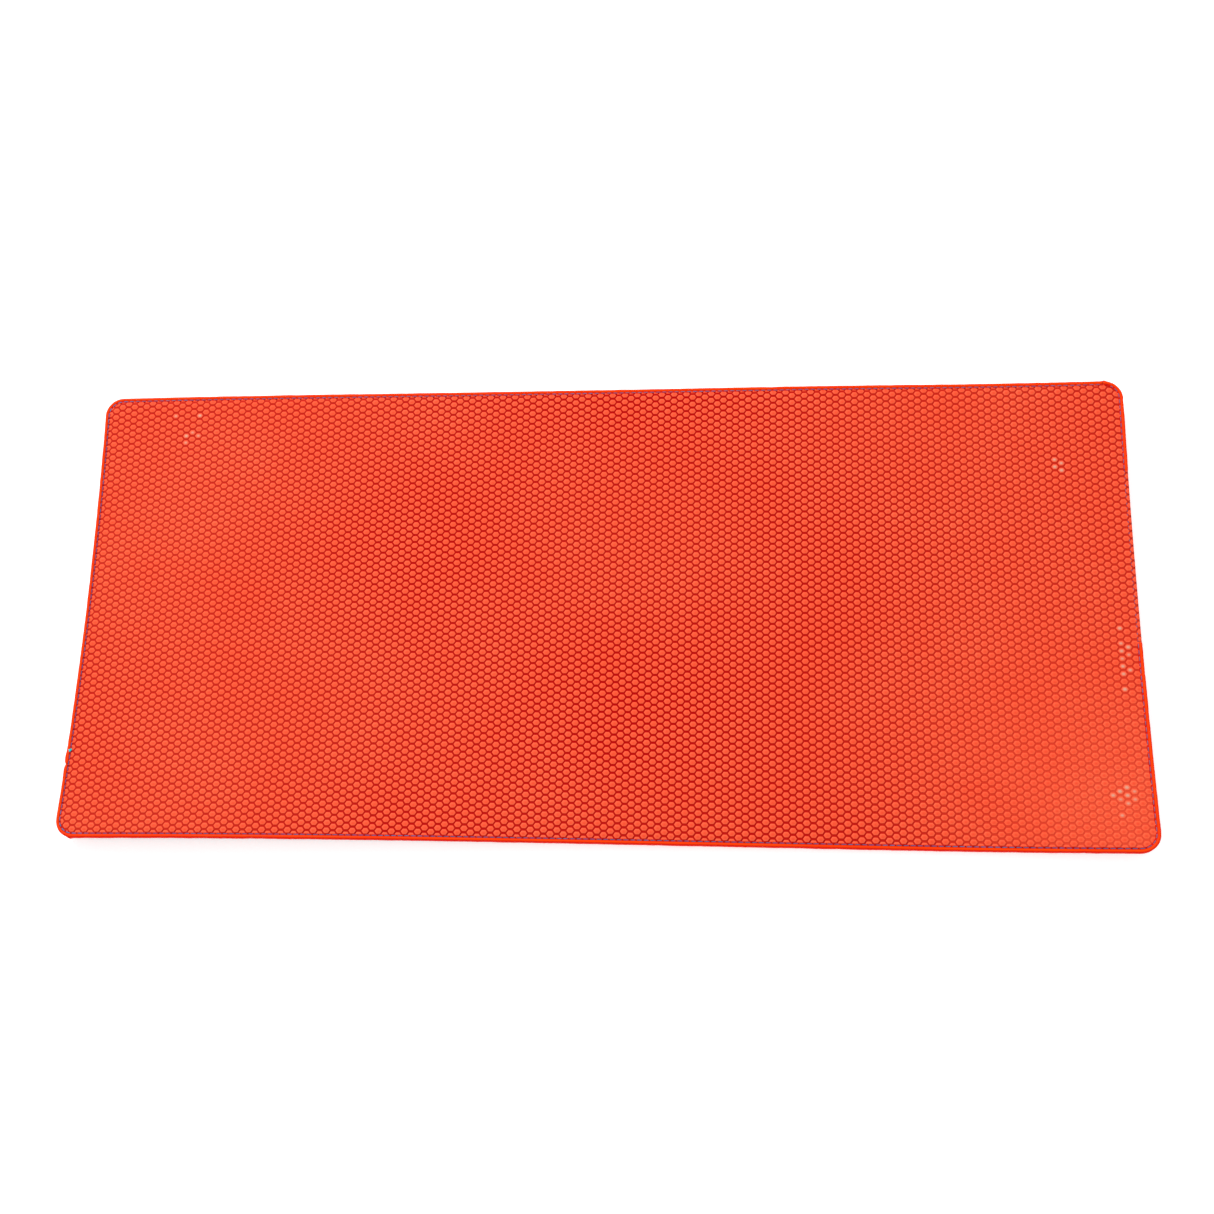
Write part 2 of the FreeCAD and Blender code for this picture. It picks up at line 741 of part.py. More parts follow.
def main():
    """Builds every piece, checks it and writes it to its own file."""
    base_cover()
    inner_sheets()
    insulation_foam()
    heating_wire()
    splices()
    leads()
    thermal_cutout()
    inlet_gland()
    top_cover()
    edge_binding()
    seam()
    check()
    os.makedirs("parts", exist_ok=True)
    for piece in NODES:
        piece.Shape.exportStep(os.path.join("parts", f"{piece.Label}.step"))
        bounds = piece.Shape.BoundBox
        print(
            f"{piece.Label:28s} {piece.Shape.Volume:10.2f} mm3",
            f"x {bounds.XMin:8.2f} {bounds.XMax:8.2f} y {bounds.YMin:8.2f} {bounds.YMax:8.2f}",
            f"z {bounds.ZMin:6.3f} {bounds.ZMax:6.3f}",
        )


main()
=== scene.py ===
"""Looks of the seedling heat mat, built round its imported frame.

The mat is a sewn sandwich: an embossed top cover, a foil, the heating wire on its scrim, foam, a
reflecting film and a base cover, closed all round by a sewn binding. All of it is soft, so every
layer is laid with the same low waves that a mat keeps from the roll it was packed in.
"""

import json
import logging
import math
from collections.abc import Iterable
from dataclasses import dataclass, field
from enum import Enum

import bmesh
import bpy
import numpy as np
from mathutils import Matrix, Vector
from mathutils.geometry import delaunay_2d_cdt


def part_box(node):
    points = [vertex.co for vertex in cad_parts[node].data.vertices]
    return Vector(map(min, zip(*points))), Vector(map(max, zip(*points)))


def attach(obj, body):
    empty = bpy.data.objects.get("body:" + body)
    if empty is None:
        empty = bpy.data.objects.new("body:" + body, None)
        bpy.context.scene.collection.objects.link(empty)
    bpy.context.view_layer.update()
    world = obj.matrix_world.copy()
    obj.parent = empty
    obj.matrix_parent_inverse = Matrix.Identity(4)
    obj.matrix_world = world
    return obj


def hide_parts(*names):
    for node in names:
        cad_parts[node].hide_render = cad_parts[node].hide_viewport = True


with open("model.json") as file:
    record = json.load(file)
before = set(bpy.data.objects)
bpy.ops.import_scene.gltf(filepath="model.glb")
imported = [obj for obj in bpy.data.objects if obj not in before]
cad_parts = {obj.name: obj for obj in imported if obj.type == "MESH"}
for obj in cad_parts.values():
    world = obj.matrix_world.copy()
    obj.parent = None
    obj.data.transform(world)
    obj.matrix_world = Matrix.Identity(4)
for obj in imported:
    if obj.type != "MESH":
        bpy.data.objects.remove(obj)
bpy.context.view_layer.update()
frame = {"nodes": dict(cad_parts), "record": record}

MM = 0.001
BODY = "root"
WRAPPED = (-16.0, 67.0)
WRAP_RUN = 2.0
log = logging.getLogger("heat_mat")

Colour = tuple[float, float, float]
Face = tuple[int, ...]
FormPart = bmesh.types.BMVert | bmesh.types.BMEdge | bmesh.types.BMFace


def paint(red: int, green: int, blue: int) -> Colour:
    """Turns a paint-chart colour into the linear one that shaders take.

    Args:
        red: Red, 0 to 255.
        green: Green, 0 to 255.
        blue: Blue, 0 to 255.

    Returns:
        The linear colour.
    """
    def linear(part: float) -> float:
        """One channel, made linear."""
        return part / 12.92 if part <= 0.04045 else ((part + 0.055) / 1.055) ** 2.4

    return linear(red / 255), linear(green / 255), linear(blue / 255)


def ease(share: np.ndarray) -> np.ndarray:
    """Smooth step of a share, held between 0 and 1."""
    held = np.clip(share, 0.0, 1.0)
    return held * held * (3.0 - 2.0 * held)


def ragged(distance: np.ndarray, spacing: float, seed: int) -> np.ndarray:
    """Makes an uneven run of values, such as a hand-fed edge has.

    Args:
        distance: Places along the edge, in millimetres.
        spacing: Distance between two chance values.
        seed: Seed of the chance values.

    Returns:
        Values from -1 to 1, one for each place.
    """
    rng = np.random.default_rng(seed)
    knots = np.arange(distance.min() - spacing, distance.max() + 2 * spacing, spacing)
    return np.interp(distance, knots, rng.uniform(-1.0, 1.0, len(knots)))


def wrap_share(x: np.ndarray, y: np.ndarray) -> np.ndarray:
    """Share by which the top sheet is wrapped over the right edge, where the binding slipped under it.

    Args:
        x: Places along the mat.
        y: Places across the mat.

    Returns:
        Shares from 0 to 1.
    """
    start, end = WRAPPED
    half = WRAP_RUN / 2
    return (x > 0) * ease((y - start + half) / WRAP_RUN) * ease((end + half - y) / WRAP_RUN)


# ------------------------------------------------------------------ shape of the mat


def distances(places: np.ndarray) -> np.ndarray:
    """Distance of each place along a line, from its first place."""
    return np.concatenate([[0], np.cumsum(np.linalg.norm(np.diff(places, axis=0), axis=1))])


@dataclass(frozen=True)
class Outline:
    """The mat's plan: a rectangle with round corners, in millimetres."""

    half_length: float
    half_width: float
    corner_radius: float = 9.0
    corner_steps: int = 12

    def walk(self, step: float) -> tuple[np.ndarray, np.ndarray]:
        """Walks the outer edge anticlockwise from the far end of the right side.

        Args:
            step: Longest distance between two places on a straight side.

        Returns:
            The places and their outward normals, the first place repeated at the end.
        """
        radius = self.corner_radius
        reach_x, reach_y = self.half_length - radius, self.half_width - radius
        centres = [(reach_x, reach_y), (-reach_x, reach_y), (-reach_x, -reach_y), (reach_x, -reach_y)]
        places, normals = [], []
        for turn, centre in enumerate(centres):
            angles = np.linspace(0, math.pi / 2, self.corner_steps + 1) + turn * math.pi / 2
            arc_normals = np.c_[np.cos(angles), np.sin(angles)]
            arc = np.array(centre) + radius * arc_normals
            following = np.array(centres[(turn + 1) % 4]) + radius * arc_normals[-1]
            count = max(2, math.ceil(np.linalg.norm(following - arc[-1]) / step))
            share = np.arange(1, count)[:, None] / count
            places += [arc, arc[-1] + share * (following - arc[-1])]
            normals += [arc_normals, np.repeat(arc_normals[-1:], count - 1, 0)]
        places, normals = np.vstack(places), np.vstack(normals)
        return np.vstack([places, places[:1]]), np.vstack([normals, normals[:1]])

    def inset(self, x: np.ndarray, y: np.ndarray) -> tuple[np.ndarray, np.ndarray]:
        """Says how far places lie inside the edge.

        Args:
            x: Places along the mat.
            y: Places across the mat.

        Returns:
            The distances inside the edge, and the outward normals there.
        """
        over = np.c_[np.abs(x), np.abs(y)] - [
            self.half_length - self.corner_radius, self.half_width - self.corner_radius]
        corner = over.min(1) > 0
        reach = np.where(corner, np.hypot(over[:, 0], over[:, 1]), over.max(1))
        along_x = over[:, 0] >= over[:, 1]
        flat = np.c_[along_x, ~along_x].astype(float)
        round_ = over / np.maximum(np.hypot(over[:, 0], over[:, 1]), 1e-9)[:, None]
        normal = np.where(corner[:, None], round_, flat) * np.c_[np.sign(x), np.sign(y)]
        return self.corner_radius - reach, normal

    def tangents(self, inset: float) -> list[tuple[Vector, Vector]]:
        """Straight cuts that trim a sheet to the outline.

        Args:
            inset: Distance of the trimmed edge inside the mat's own edge.

        Returns:
            A point on each cut, and its outward normal.
        """
        places, normals = self.walk(self.half_length * 2)
        unique = {(round(n[0], 4), round(n[1], 4)): p for p, n in zip(places, normals)}
        return [(Vector((*(place - np.array(normal) * inset), 0)), Vector((*normal, 0)))
                for normal, place in unique.items()]


@dataclass(frozen=True)
class Lie:
    """The low waves in which the mat lies, in millimetres, as shares of its half sizes."""

    half_length: float
    half_width: float
    limp: float = 0.66
    near_wave: float = 5.25
    near_wave_start: float = -0.17
    near_wave_half: float = 1.31
    far_wave: float = 2.35
    far_wave_start: float = 1.32
    far_wave_half: float = 0.98
    right_lift: float = 6.3
    right_lift_from: float = 0.6
    sag_along: float = 0.15
    cup_across: float = 5.25
    lowest: float = -1.62
    end_skew: float = -2.2
    end_spread: float = 0.5
    end_bow: float = -2.1
    width_change: float = 0.43
    lean: float = 0.33

    def height(self, x: np.ndarray, y: np.ndarray) -> np.ndarray:
        """Height by which the flat mat is lifted.

        Args:
            x: Places along the mat.
            y: Places across the mat.

        Returns:
            The lift at each place.
        """
        along, across = x / self.half_length, y / self.half_width
        near, far = ((1 - across) / 2) ** 2, ((1 + across) / 2) ** 2
        lift = self.near_wave * near * np.sin(
            math.pi * (self.near_wave_start - along) / self.near_wave_half)
        lift += self.far_wave * far * np.sin(
            math.pi * (self.far_wave_start - along) / self.far_wave_half)
        lift += self.right_lift * np.clip(
            (along - self.right_lift_from) / (1 - self.right_lift_from), 0, None) ** 2
        lift += self.sag_along * along**2 + self.cup_across * across**2
        return self.limp * np.maximum(lift - self.lowest, 0)

    def pull(self, x: np.ndarray, y: np.ndarray) -> tuple[np.ndarray, np.ndarray]:
        """Draws the plan a little out of square, as the seam's tension does.

        Args:
            x: Places along the mat.
            y: Places across the mat.

        Returns:
            The places after the pull.
        """
        along, across = x / self.half_length, y / self.half_width
        drawn_x = x + across * (self.end_skew * along**2 + self.end_spread * along * (1 + across)
                                + self.lean)
        drawn_y = y + self.end_bow * along**2 + self.width_change * along * across * (1 - along)
        return drawn_x, drawn_y


@dataclass(frozen=True)
class Ground:
    """What every class works from: the plan and the lie."""

    outline: Outline
    lie: Lie


# ------------------------------------------------------------------ wiring of materials


class Grain(Enum):
    """Kinds of fine surface, each a shader group that several finishes share."""

    PEBBLE = "pebble_grain"
    WOVEN = "woven_grain"
    CRINKLE = "crinkle_grain"
    DRAWN = "drawn_grain"
    SPUN = "spun_grain"


class Wiring:
    """Short ways to place and join nodes in one tree."""

    def __init__(self, tree: bpy.types.NodeTree) -> None:
        """Takes the tree to work in."""
        self.tree = tree

    def place(self, kind: str, settings: dict | None = None, **inputs: object) -> bpy.types.Node:
        """Places a node.

        Args:
            kind: The node's type.
            settings: The node's own properties.
            inputs: Values or output sockets for its inputs, spaces written as underscores.

        Returns:
            The node.
        """
        node = self.tree.nodes.new(kind)
        for key, value in (settings or {}).items():
            setattr(node, key, value)
        for key, value in inputs.items():
            socket = node.inputs[int(key[1:])] if key[1:].isdigit() else node.inputs[key.replace("_", " ")]
            self.feed(socket, value)
        return node

    def feed(self, socket: bpy.types.NodeSocket, value: object) -> None:
        """Links an output into a socket, or sets the socket's own value."""
        if isinstance(value, bpy.types.NodeSocket):
            self.tree.links.new(value, socket)
        else:
            socket.default_value = (*value, 1.0) if isinstance(value, tuple) and len(value) == 3 and \
                socket.type == "RGBA" else value

    def sum(self, operation: str, first: object, second: object = 0.0) -> bpy.types.NodeSocket:
        """Result of one arithmetic step."""
        return self.place("ShaderNodeMath", {"operation": operation}, _0=first, _1=second).outputs[0]

    def spread(self, value: object, low: float, high: float, to_low: float,
               to_high: float) -> bpy.types.NodeSocket:
        """Maps a range of values onto another, held at its ends."""
        return self.place("ShaderNodeMapRange", {}, Value=value, From_Min=low, From_Max=high,
                          To_Min=to_low, To_Max=to_high).outputs[0]

    def blend(self, share: object, first: object, second: object) -> bpy.types.NodeSocket:
        """Mixes two colours by a share."""
        node = self.place("ShaderNodeMix", {"data_type": "RGBA"})
        for index, value in ((0, share), (6, first), (7, second)):
            self.feed(node.inputs[index], value)
        return node.outputs[2]

    def where(self, scale: tuple[float, float, float] = (1.0, 1.0, 1.0)) -> bpy.types.NodeSocket:
        """Places in the mat's own frame, stretched by a scale."""
        spot = self.place("ShaderNodeTexCoord").outputs["Object"]
        return self.place("ShaderNodeMapping", {}, Vector=spot, Scale=scale).outputs[0]

    def mark(self, name: str) -> bpy.types.NodeSocket:
        """A value painted on the mesh's points."""
        return self.place("ShaderNodeAttribute", {"attribute_name": name}).outputs["Fac"]

    def group(self, shared: bpy.types.NodeTree, output: str, **inputs: object) -> bpy.types.NodeSocket:
        """Places a shared group and gives one of its outputs."""
        node = self.place("ShaderNodeGroup", {"node_tree": shared})
        for key, value in inputs.items():
            self.feed(node.inputs[key.replace("_", " ")], value)
        return node.outputs[output]


@dataclass
class Effects:
    """The shader groups that the finishes share, each built once."""

    built: dict[str, bpy.types.NodeTree] = field(default_factory=dict)

    def _start(self, name: str, inputs: dict[str, float], output: str) -> tuple[Wiring, dict, object]:
        """Starts a group.

        Args:
            name: The group's name.
            inputs: Number inputs and what they hold at first.
            output: The name of its one number output.

        Returns:
            The wiring, the input sockets by name, and the socket that takes the result.
        """
        tree = bpy.data.node_groups.new(name, "ShaderNodeTree")
        for key, value in inputs.items():
            socket = tree.interface.new_socket(key, in_out="INPUT", socket_type="NodeSocketFloat")
            socket.default_value = value
        tree.interface.new_socket(output, in_out="OUTPUT", socket_type="NodeSocketFloat")
        wiring = Wiring(tree)
        entry = wiring.place("NodeGroupInput")
        leave = wiring.place("NodeGroupOutput")
        self.built[name] = tree
        return wiring, {key: entry.outputs[key] for key in inputs}, leave.inputs[output]

    def drift(self) -> bpy.types.NodeTree:
        """Slow change of tone over a surface: a Mask from 0 to 1."""
        if "tonal_drift" not in self.built:
            wiring, given, result = self._start("tonal_drift", {"Scale": 20.0, "Contrast": 2.0}, "Mask")
            cloud = wiring.place("ShaderNodeTexNoise", {}, Vector=wiring.where(), Scale=given["Scale"],
                                 Detail=4.0, Roughness=0.55).outputs["Fac"]
            centred = wiring.sum("SUBTRACT", cloud, 0.5)
            swing = wiring.sum("MULTIPLY", centred, given["Contrast"])
            held = wiring.place("ShaderNodeMath", {"operation": "ADD", "use_clamp": True}, _0=swing, _1=0.5)
            wiring.feed(result, held.outputs[0])
        return self.built["tonal_drift"]

    def grain(self, kind: Grain) -> bpy.types.NodeTree:
        """Fine relief of one kind: a Height from 0 to 1.

        Args:
            kind: Which fine surface.

        Returns:
            The group, whose Scale is in features for each metre.
        """
        if kind.value in self.built:
            return self.built[kind.value]
        wiring, given, result = self._start(kind.value, {"Scale": 1000.0}, "Height")
        scale, spot = given["Scale"], wiring.where()
        if kind is Grain.PEBBLE:
            cell = wiring.place("ShaderNodeTexVoronoi", {"feature": "SMOOTH_F1"}, Vector=spot, Scale=scale,
                                Smoothness=0.6).outputs["Distance"]
            dust = wiring.place("ShaderNodeTexNoise", {}, Vector=spot, Scale=scale, Detail=2.0).outputs["Fac"]
            height = wiring.sum("SUBTRACT", dust, cell)
        elif kind is Grain.WOVEN:
            bands = [wiring.place("ShaderNodeTexWave", {"bands_direction": way}, Vector=spot, Scale=scale,
                                  Distortion=0.6, Detail=1.0).outputs["Fac"] for way in ("X", "Y")]
            height = wiring.sum("MAXIMUM", *bands)
        elif kind is Grain.CRINKLE:
            cloud = wiring.place("ShaderNodeTexNoise", {}, Vector=spot, Scale=scale, Detail=5.0,
                                 Roughness=0.6).outputs["Fac"]
            height = wiring.sum("ABSOLUTE", wiring.sum("SUBTRACT", cloud, 0.5))
        elif kind is Grain.DRAWN:
            long = wiring.where((0.06, 1.0, 1.0))
            height = wiring.place("ShaderNodeTexNoise", {}, Vector=long, Scale=scale,
                                  Detail=2.0).outputs["Fac"]
        else:
            height = wiring.place("ShaderNodeTexWave", {"bands_direction": "DIAGONAL"}, Vector=spot,
                                  Scale=scale, Distortion=1.5, Detail=1.0).outputs["Fac"]
        wiring.feed(result, height)
        return self.built[kind.value]


EFFECTS = Effects()


# ------------------------------------------------------------------ finishes


@dataclass(frozen=True)
class Finish:
    """A plain finish: two tones that drift into each other, and a fine grain."""

    name: str
    slot: str
    colour: Colour
    second: Colour
    roughness: float
    grain: Grain
    grain_scale: float
    grain_depth: float
    drift_scale: float = 60.0
    drift_contrast: float = 2.0
    polish_spread: float = 0.08
    metallic: float = 0.0
    specular: float = 0.4
    sheen: float = 0.0

    def start(self) -> tuple[bpy.types.Material, Wiring, bpy.types.Node]:
        """Starts the material, with what is the same all over set on the shader itself."""
        material = bpy.data.materials.new(self.name)
        material.use_nodes = True
        shader = material.node_tree.nodes["Principled BSDF"]
        shader.inputs["Metallic"].default_value = self.metallic
        shader.inputs["Specular IOR Level"].default_value = self.specular
        shader.inputs["Sheen Weight"].default_value = self.sheen
        return material, Wiring(material.node_tree), shader

    def relief(self, wiring: Wiring, shader: bpy.types.Node) -> bpy.types.NodeSocket:
        """Feeds the grain to the shader's normal and gives its height."""
        height = wiring.group(EFFECTS.grain(self.grain), "Height", Scale=self.grain_scale)
        bump = wiring.place("ShaderNodeBump", {}, Height=height, Strength=1.0,
                            Distance=self.grain_depth * MM)
        wiring.feed(shader.inputs["Normal"], bump.outputs[0])
        return height

    def tone(self, wiring: Wiring) -> bpy.types.NodeSocket:
        """The slow drift between the two tones."""
        return wiring.group(EFFECTS.drift(), "Mask", Scale=self.drift_scale, Contrast=self.drift_contrast)

    def body(self, wiring: Wiring, tone: bpy.types.NodeSocket) -> bpy.types.NodeSocket:
        """Colour of the surface, from the slow drift of tone."""
        return wiring.blend(tone, self.colour, self.second)

    def material(self) -> bpy.types.Material:
        """Builds the material.

        Returns:
            The material, once for each finish.
        """
        made = bpy.data.materials.get(self.name)
        if made:
            return made
        material, wiring, shader = self.start()
        height = self.relief(wiring, shader)
        tone = self.tone(wiring)
        wiring.feed(shader.inputs["Base Color"], self.body(wiring, tone))
        dull = wiring.spread(wiring.sum("ADD", tone, height), 0.2, 1.4,
                             self.roughness - self.polish_spread, self.roughness + self.polish_spread)
        wiring.feed(shader.inputs["Roughness"], dull)
        return material


@dataclass(frozen=True)
class CoverFinish(Finish):
    """The top cover's embossed sheet: bright cell tops, grooves and cell middles darkened with painted shade,
    and a few cells with a painted highlight.
    """

    # Painted shade in the grooves.
    groove_shade: Colour = paint(188, 0, 0)
    # Painted highlight on a few cells.
    pale: Colour = paint(212, 172, 146)
    # Painted shade in the dished middle of each cell, on top of the real dish.
    heart_shade: Colour = paint(232, 70, 42)

    def body(self, wiring: Wiring, tone: bpy.types.NodeSocket) -> bpy.types.NodeSocket:
        """Colour of the surface, from the marks painted on the cells."""
        top = super().body(wiring, tone)
        top = wiring.blend(wiring.spread(wiring.mark("cell_tone"), 0.0, 1.0, 0.0, 0.35), top, self.second)
        # Painted shade in each cell's dished middle, leaving a lighter ring round it.
        top = wiring.blend(wiring.spread(wiring.mark("cell_heart"), 0.1, 0.75, 0.0, 0.75), top, self.heart_shade)
        # Painted highlight: a light spot on a few cells.
        top = wiring.blend(wiring.spread(wiring.mark("cell_glint"), 0.2, 0.75, 0.0, 0.8), top, self.pale)
        # Painted shade in the grooves: it fills the lower wall of each cell, and is lifted towards the top
        # colour where the grooves are pressed shallow.
        rise = wiring.spread(wiring.mark("cell_rise"), 0.86, 1.0, 0.0, 1.0)
        lifted = wiring.sum("MAXIMUM", rise, wiring.mark("groove_fill"))
        return wiring.blend(lifted, self.groove_shade, top)


@dataclass(frozen=True)
class MarkedFinish(Finish):
    """A finish that turns to other colours where marks are painted on the piece."""

    marks: tuple[tuple[str, Colour], ...] = ()

    def body(self, wiring: Wiring, tone: bpy.types.NodeSocket) -> bpy.types.NodeSocket:
        """Colour of the surface, turned to each mark's colour where it is painted."""
        colour = super().body(wiring, tone)
        for mark, marked in self.marks:
            colour = wiring.blend(wiring.mark(mark), colour, marked)
        return colour


TOP_COVER = CoverFinish("embossed_cover", "top_cover", paint(255, 108, 72), paint(255, 91, 57), 0.55,
                        Grain.PEBBLE, 4200.0, 0.02, drift_scale=14.0, specular=0.05)
BASE_COVER = Finish("base_cover_cloth", "base_cover", paint(34, 32, 36), paint(62, 58, 62), 0.66,
                    Grain.PEBBLE, 900.0, 0.35, drift_scale=70.0, drift_contrast=3.0, specular=0.35)
# The binding's marks are painted shade: darker red on its sides and underside round a crest left bright
# orange, and dark red-black in the stitch holes.
BINDING = MarkedFinish("sewn_binding", "binding", paint(255, 74, 0), paint(252, 60, 0), 0.42, Grain.PEBBLE,
                       2600.0, 0.02, specular=0.05,
                       marks=(("rim_side_shade", paint(226, 20, 4)), ("seam_hole_shade", paint(52, 8, 24))))
# Two of the thread's marks are painted shade: darker on the left and near sides, and darker where each stitch
# dives into the cloth.
THREAD = MarkedFinish("seam_thread", "thread", paint(158, 128, 160), paint(118, 96, 134), 0.6, Grain.SPUN,
                      2600.0, 0.05, drift_scale=400.0, specular=0.2,
                      marks=(("shaded_side_run", paint(96, 100, 152)), ("blue_run", paint(18, 140, 204)),
                             ("stitch_end_shade", paint(58, 30, 62))))
KNOT = Finish("knot_thread", "knot", paint(14, 246, 255), paint(6, 222, 246), 0.5, Grain.SPUN, 3000.0, 0.05,
              drift_scale=900.0)
FOAM = Finish("foam_cells", "foam", paint(226, 226, 222), paint(208, 208, 204), 0.85, Grain.PEBBLE, 700.0,
              0.2)
FOIL = Finish("spreader_foil", "foil", paint(206, 208, 210), paint(184, 187, 190), 0.3, Grain.CRINKLE, 120.0,
              0.15, metallic=1.0)
FILM = Finish("reflecting_film", "foil", paint(216, 219, 224), paint(190, 194, 200), 0.16, Grain.CRINKLE,
              90.0, 0.1, metallic=1.0)
SCRIM = Finish("open_scrim", "scrim", paint(232, 228, 214), paint(212, 206, 190), 0.8, Grain.WOVEN, 150.0,
               0.1, sheen=0.2)
WIRE = Finish("resistance_alloy", "resistance_wire", paint(150, 146, 140), paint(120, 116, 112), 0.35,
              Grain.DRAWN, 3000.0, 0.01, metallic=1.0)
JACKET = Finish("wire_jacket", "wire_jacket", paint(196, 60, 42), paint(178, 50, 36), 0.5, Grain.PEBBLE,
                2500.0, 0.02)
LEAD = Finish("lead_insulation", "lead_insulation", paint(40, 42, 48), paint(56, 58, 64), 0.45, Grain.PEBBLE,
              2500.0, 0.02)
COPPER = Finish("tinned_copper", "conductor", paint(196, 128, 84), paint(206, 160, 128), 0.32, Grain.DRAWN,
                3000.0, 0.01, metallic=1.0)
CRIMP = Finish("crimped_brass", "crimp", paint(198, 178, 120), paint(176, 154, 98), 0.36, Grain.DRAWN, 2500.0,
               0.02, metallic=1.0)
SLEEVE = Finish("glass_sleeve", "sleeve", paint(228, 222, 204), paint(206, 198, 178), 0.7, Grain.WOVEN, 420.0,
                0.06)
CUTOUT = Finish("cutout_case", "cutout_case", paint(172, 174, 176), paint(146, 148, 150), 0.42, Grain.DRAWN,
                1800.0, 0.02, metallic=1.0)
GLAND = Finish("moulded_inlet", "gland", paint(34, 34, 38), paint(48, 48, 52), 0.5, Grain.PEBBLE, 2200.0,
               0.03)


# ------------------------------------------------------------------ pieces


def lay(mesh: bpy.types.Mesh, lie: Lie) -> None:
    """Lifts every point of a mesh by the lie and turns millimetres into metres.

    Args:
        mesh: A mesh drawn flat, in millimetres.
        lie: The mat's lie.
    """
    spots = np.zeros(len(mesh.vertices) * 3)
    mesh.vertices.foreach_get("co", spots)
    spots = spots.reshape(-1, 3)
    spots[:, 2] += lie.height(spots[:, 0], spots[:, 1])
    spots[:, 0], spots[:, 1] = lie.pull(spots[:, 0], spots[:, 1])
    mesh.vertices.foreach_set("co", (spots * MM).ravel())
    mesh.update()


def put(name: str, data: bpy.types.ID) -> bpy.types.Object:
    """Makes an object and puts it in the scene."""
    made = bpy.data.objects.new(name, data)
    bpy.context.scene.collection.objects.link(made)
    return made


def mesh_of(form: bmesh.types.BMesh, name: str) -> bpy.types.Mesh:
    """Turns a finished form into a mesh and frees it."""
    mesh = bpy.data.meshes.new(name)
    form.to_mesh(mesh)
    form.free()
    return mesh


def add_piece(name: str, mesh: bpy.types.Mesh, finish: Finish, *nodes: str) -> bpy.types.Object:
    """Puts a finished mesh in the scene as a piece of the mat.

    Args:
        name: The piece's name.
        mesh: Its mesh, in metres.
        finish: Its finish.
        nodes: The frame's nodes that it stands for.

    Returns:
        The piece, riding on the mat's body.
    """
    mesh.materials.clear()
    mesh.materials.append(finish.material())
    mesh.shade_smooth()
    piece = put(name, mesh)
    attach(piece, BODY)
    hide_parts(*nodes)
    log.info("%s: %d faces for %s", name, len(mesh.polygons), ", ".join(nodes))
    return piece


def paint_mark(mesh: bpy.types.Mesh, name: str, values: np.ndarray) -> None:
    """Paints a value on each point of a mesh."""
    mesh.attributes.new(name, "FLOAT", "POINT").data.foreach_set("value", values.astype(np.float32))


def sweep(rings: np.ndarray, closed: bool) -> list[Face]:
    """Joins rings of points into a tube.

    Args:
        rings: Points as (ring, place in the ring, 3).
        closed: Whether the last ring meets the first.

    Returns:
        The faces, with a cap at each end of an open tube.
    """
    count, sides = rings.shape[:2]
    faces: list[Face] = []
    for ring in range(count if closed else count - 1):
        here, there = ring * sides, (ring + 1) % count * sides
        faces += [(here + k, here + (k + 1) % sides, there + (k + 1) % sides, there + k)
                  for k in range(sides)]
    if not closed:
        last = (count - 1) * sides
        faces += [tuple(range(sides))[::-1], tuple(range(last, last + sides))]
    return faces


def mesh_from(name: str, points: np.ndarray, faces: list[Face]) -> bpy.types.Mesh:
    """Makes a mesh whose faces all look outward.

    Args:
        name: The mesh's name.
        points: Its points.
        faces: Its faces.

    Returns:
        The mesh.
    """
    mesh = bpy.data.meshes.new(name)
    mesh.from_pydata(points.reshape(-1, 3).tolist(), [], faces)
    form = bmesh.new()
    form.from_mesh(mesh)
    bmesh.ops.recalc_face_normals(form, faces=form.faces)
    form.to_mesh(mesh)
    form.free()
    return mesh


@dataclass
class InnerLayer:
    """A layer, wire or fitting that keeps the frame's own shape and is laid with the mat."""

    node: str
    finish: Finish
    ground: Ground
    step: float = 12.0
    margin: float = 0.5
    crease: float = 35.0

    def build(self) -> bpy.types.Object:
        """Copies the node, divides its long faces so that they can follow the lie, and lays it.

        Returns:
            The laid piece.
        """
        form = bmesh.new()
        form.from_mesh(frame["nodes"][self.node].data)
        bmesh.ops.remove_doubles(form, verts=form.verts, dist=1e-7)
        bmesh.ops.scale(form, vec=Vector((1 / MM,) * 3), verts=form.verts)
        low, high = (np.array(corner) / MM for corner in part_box(self.node))
        for axis in range(2):
            normal = Vector((0.0, 0.0, 0.0))
            normal[axis] = 1.0
            first = math.ceil((low[axis] + self.margin) / self.step) * self.step
            for place in np.arange(first, high[axis] - self.margin, self.step):
                bmesh.ops.bisect_plane(form, geom=self._long_faces(form), dist=1e-5,
                                       plane_co=normal * place, plane_no=normal)
        mesh = mesh_of(form, self.node)
        lay(mesh, self.ground.lie)
        piece = add_piece(self.node + "_laid", mesh, self.finish, self.node)
        mesh.set_sharp_from_angle(angle=math.radians(self.crease))
        return piece

    def _long_faces(self, form: bmesh.types.BMesh) -> list[FormPart]:
        """Faces too long to follow the lie, with their edges and corners."""
        edges = {edge for edge in form.edges if edge.calc_length() > self.step}
        faces = {face for edge in edges for face in edge.link_faces}
        edges |= {edge for face in faces for edge in face.edges}
        return [*faces, *edges, *{vert for edge in edges for vert in edge.verts}]


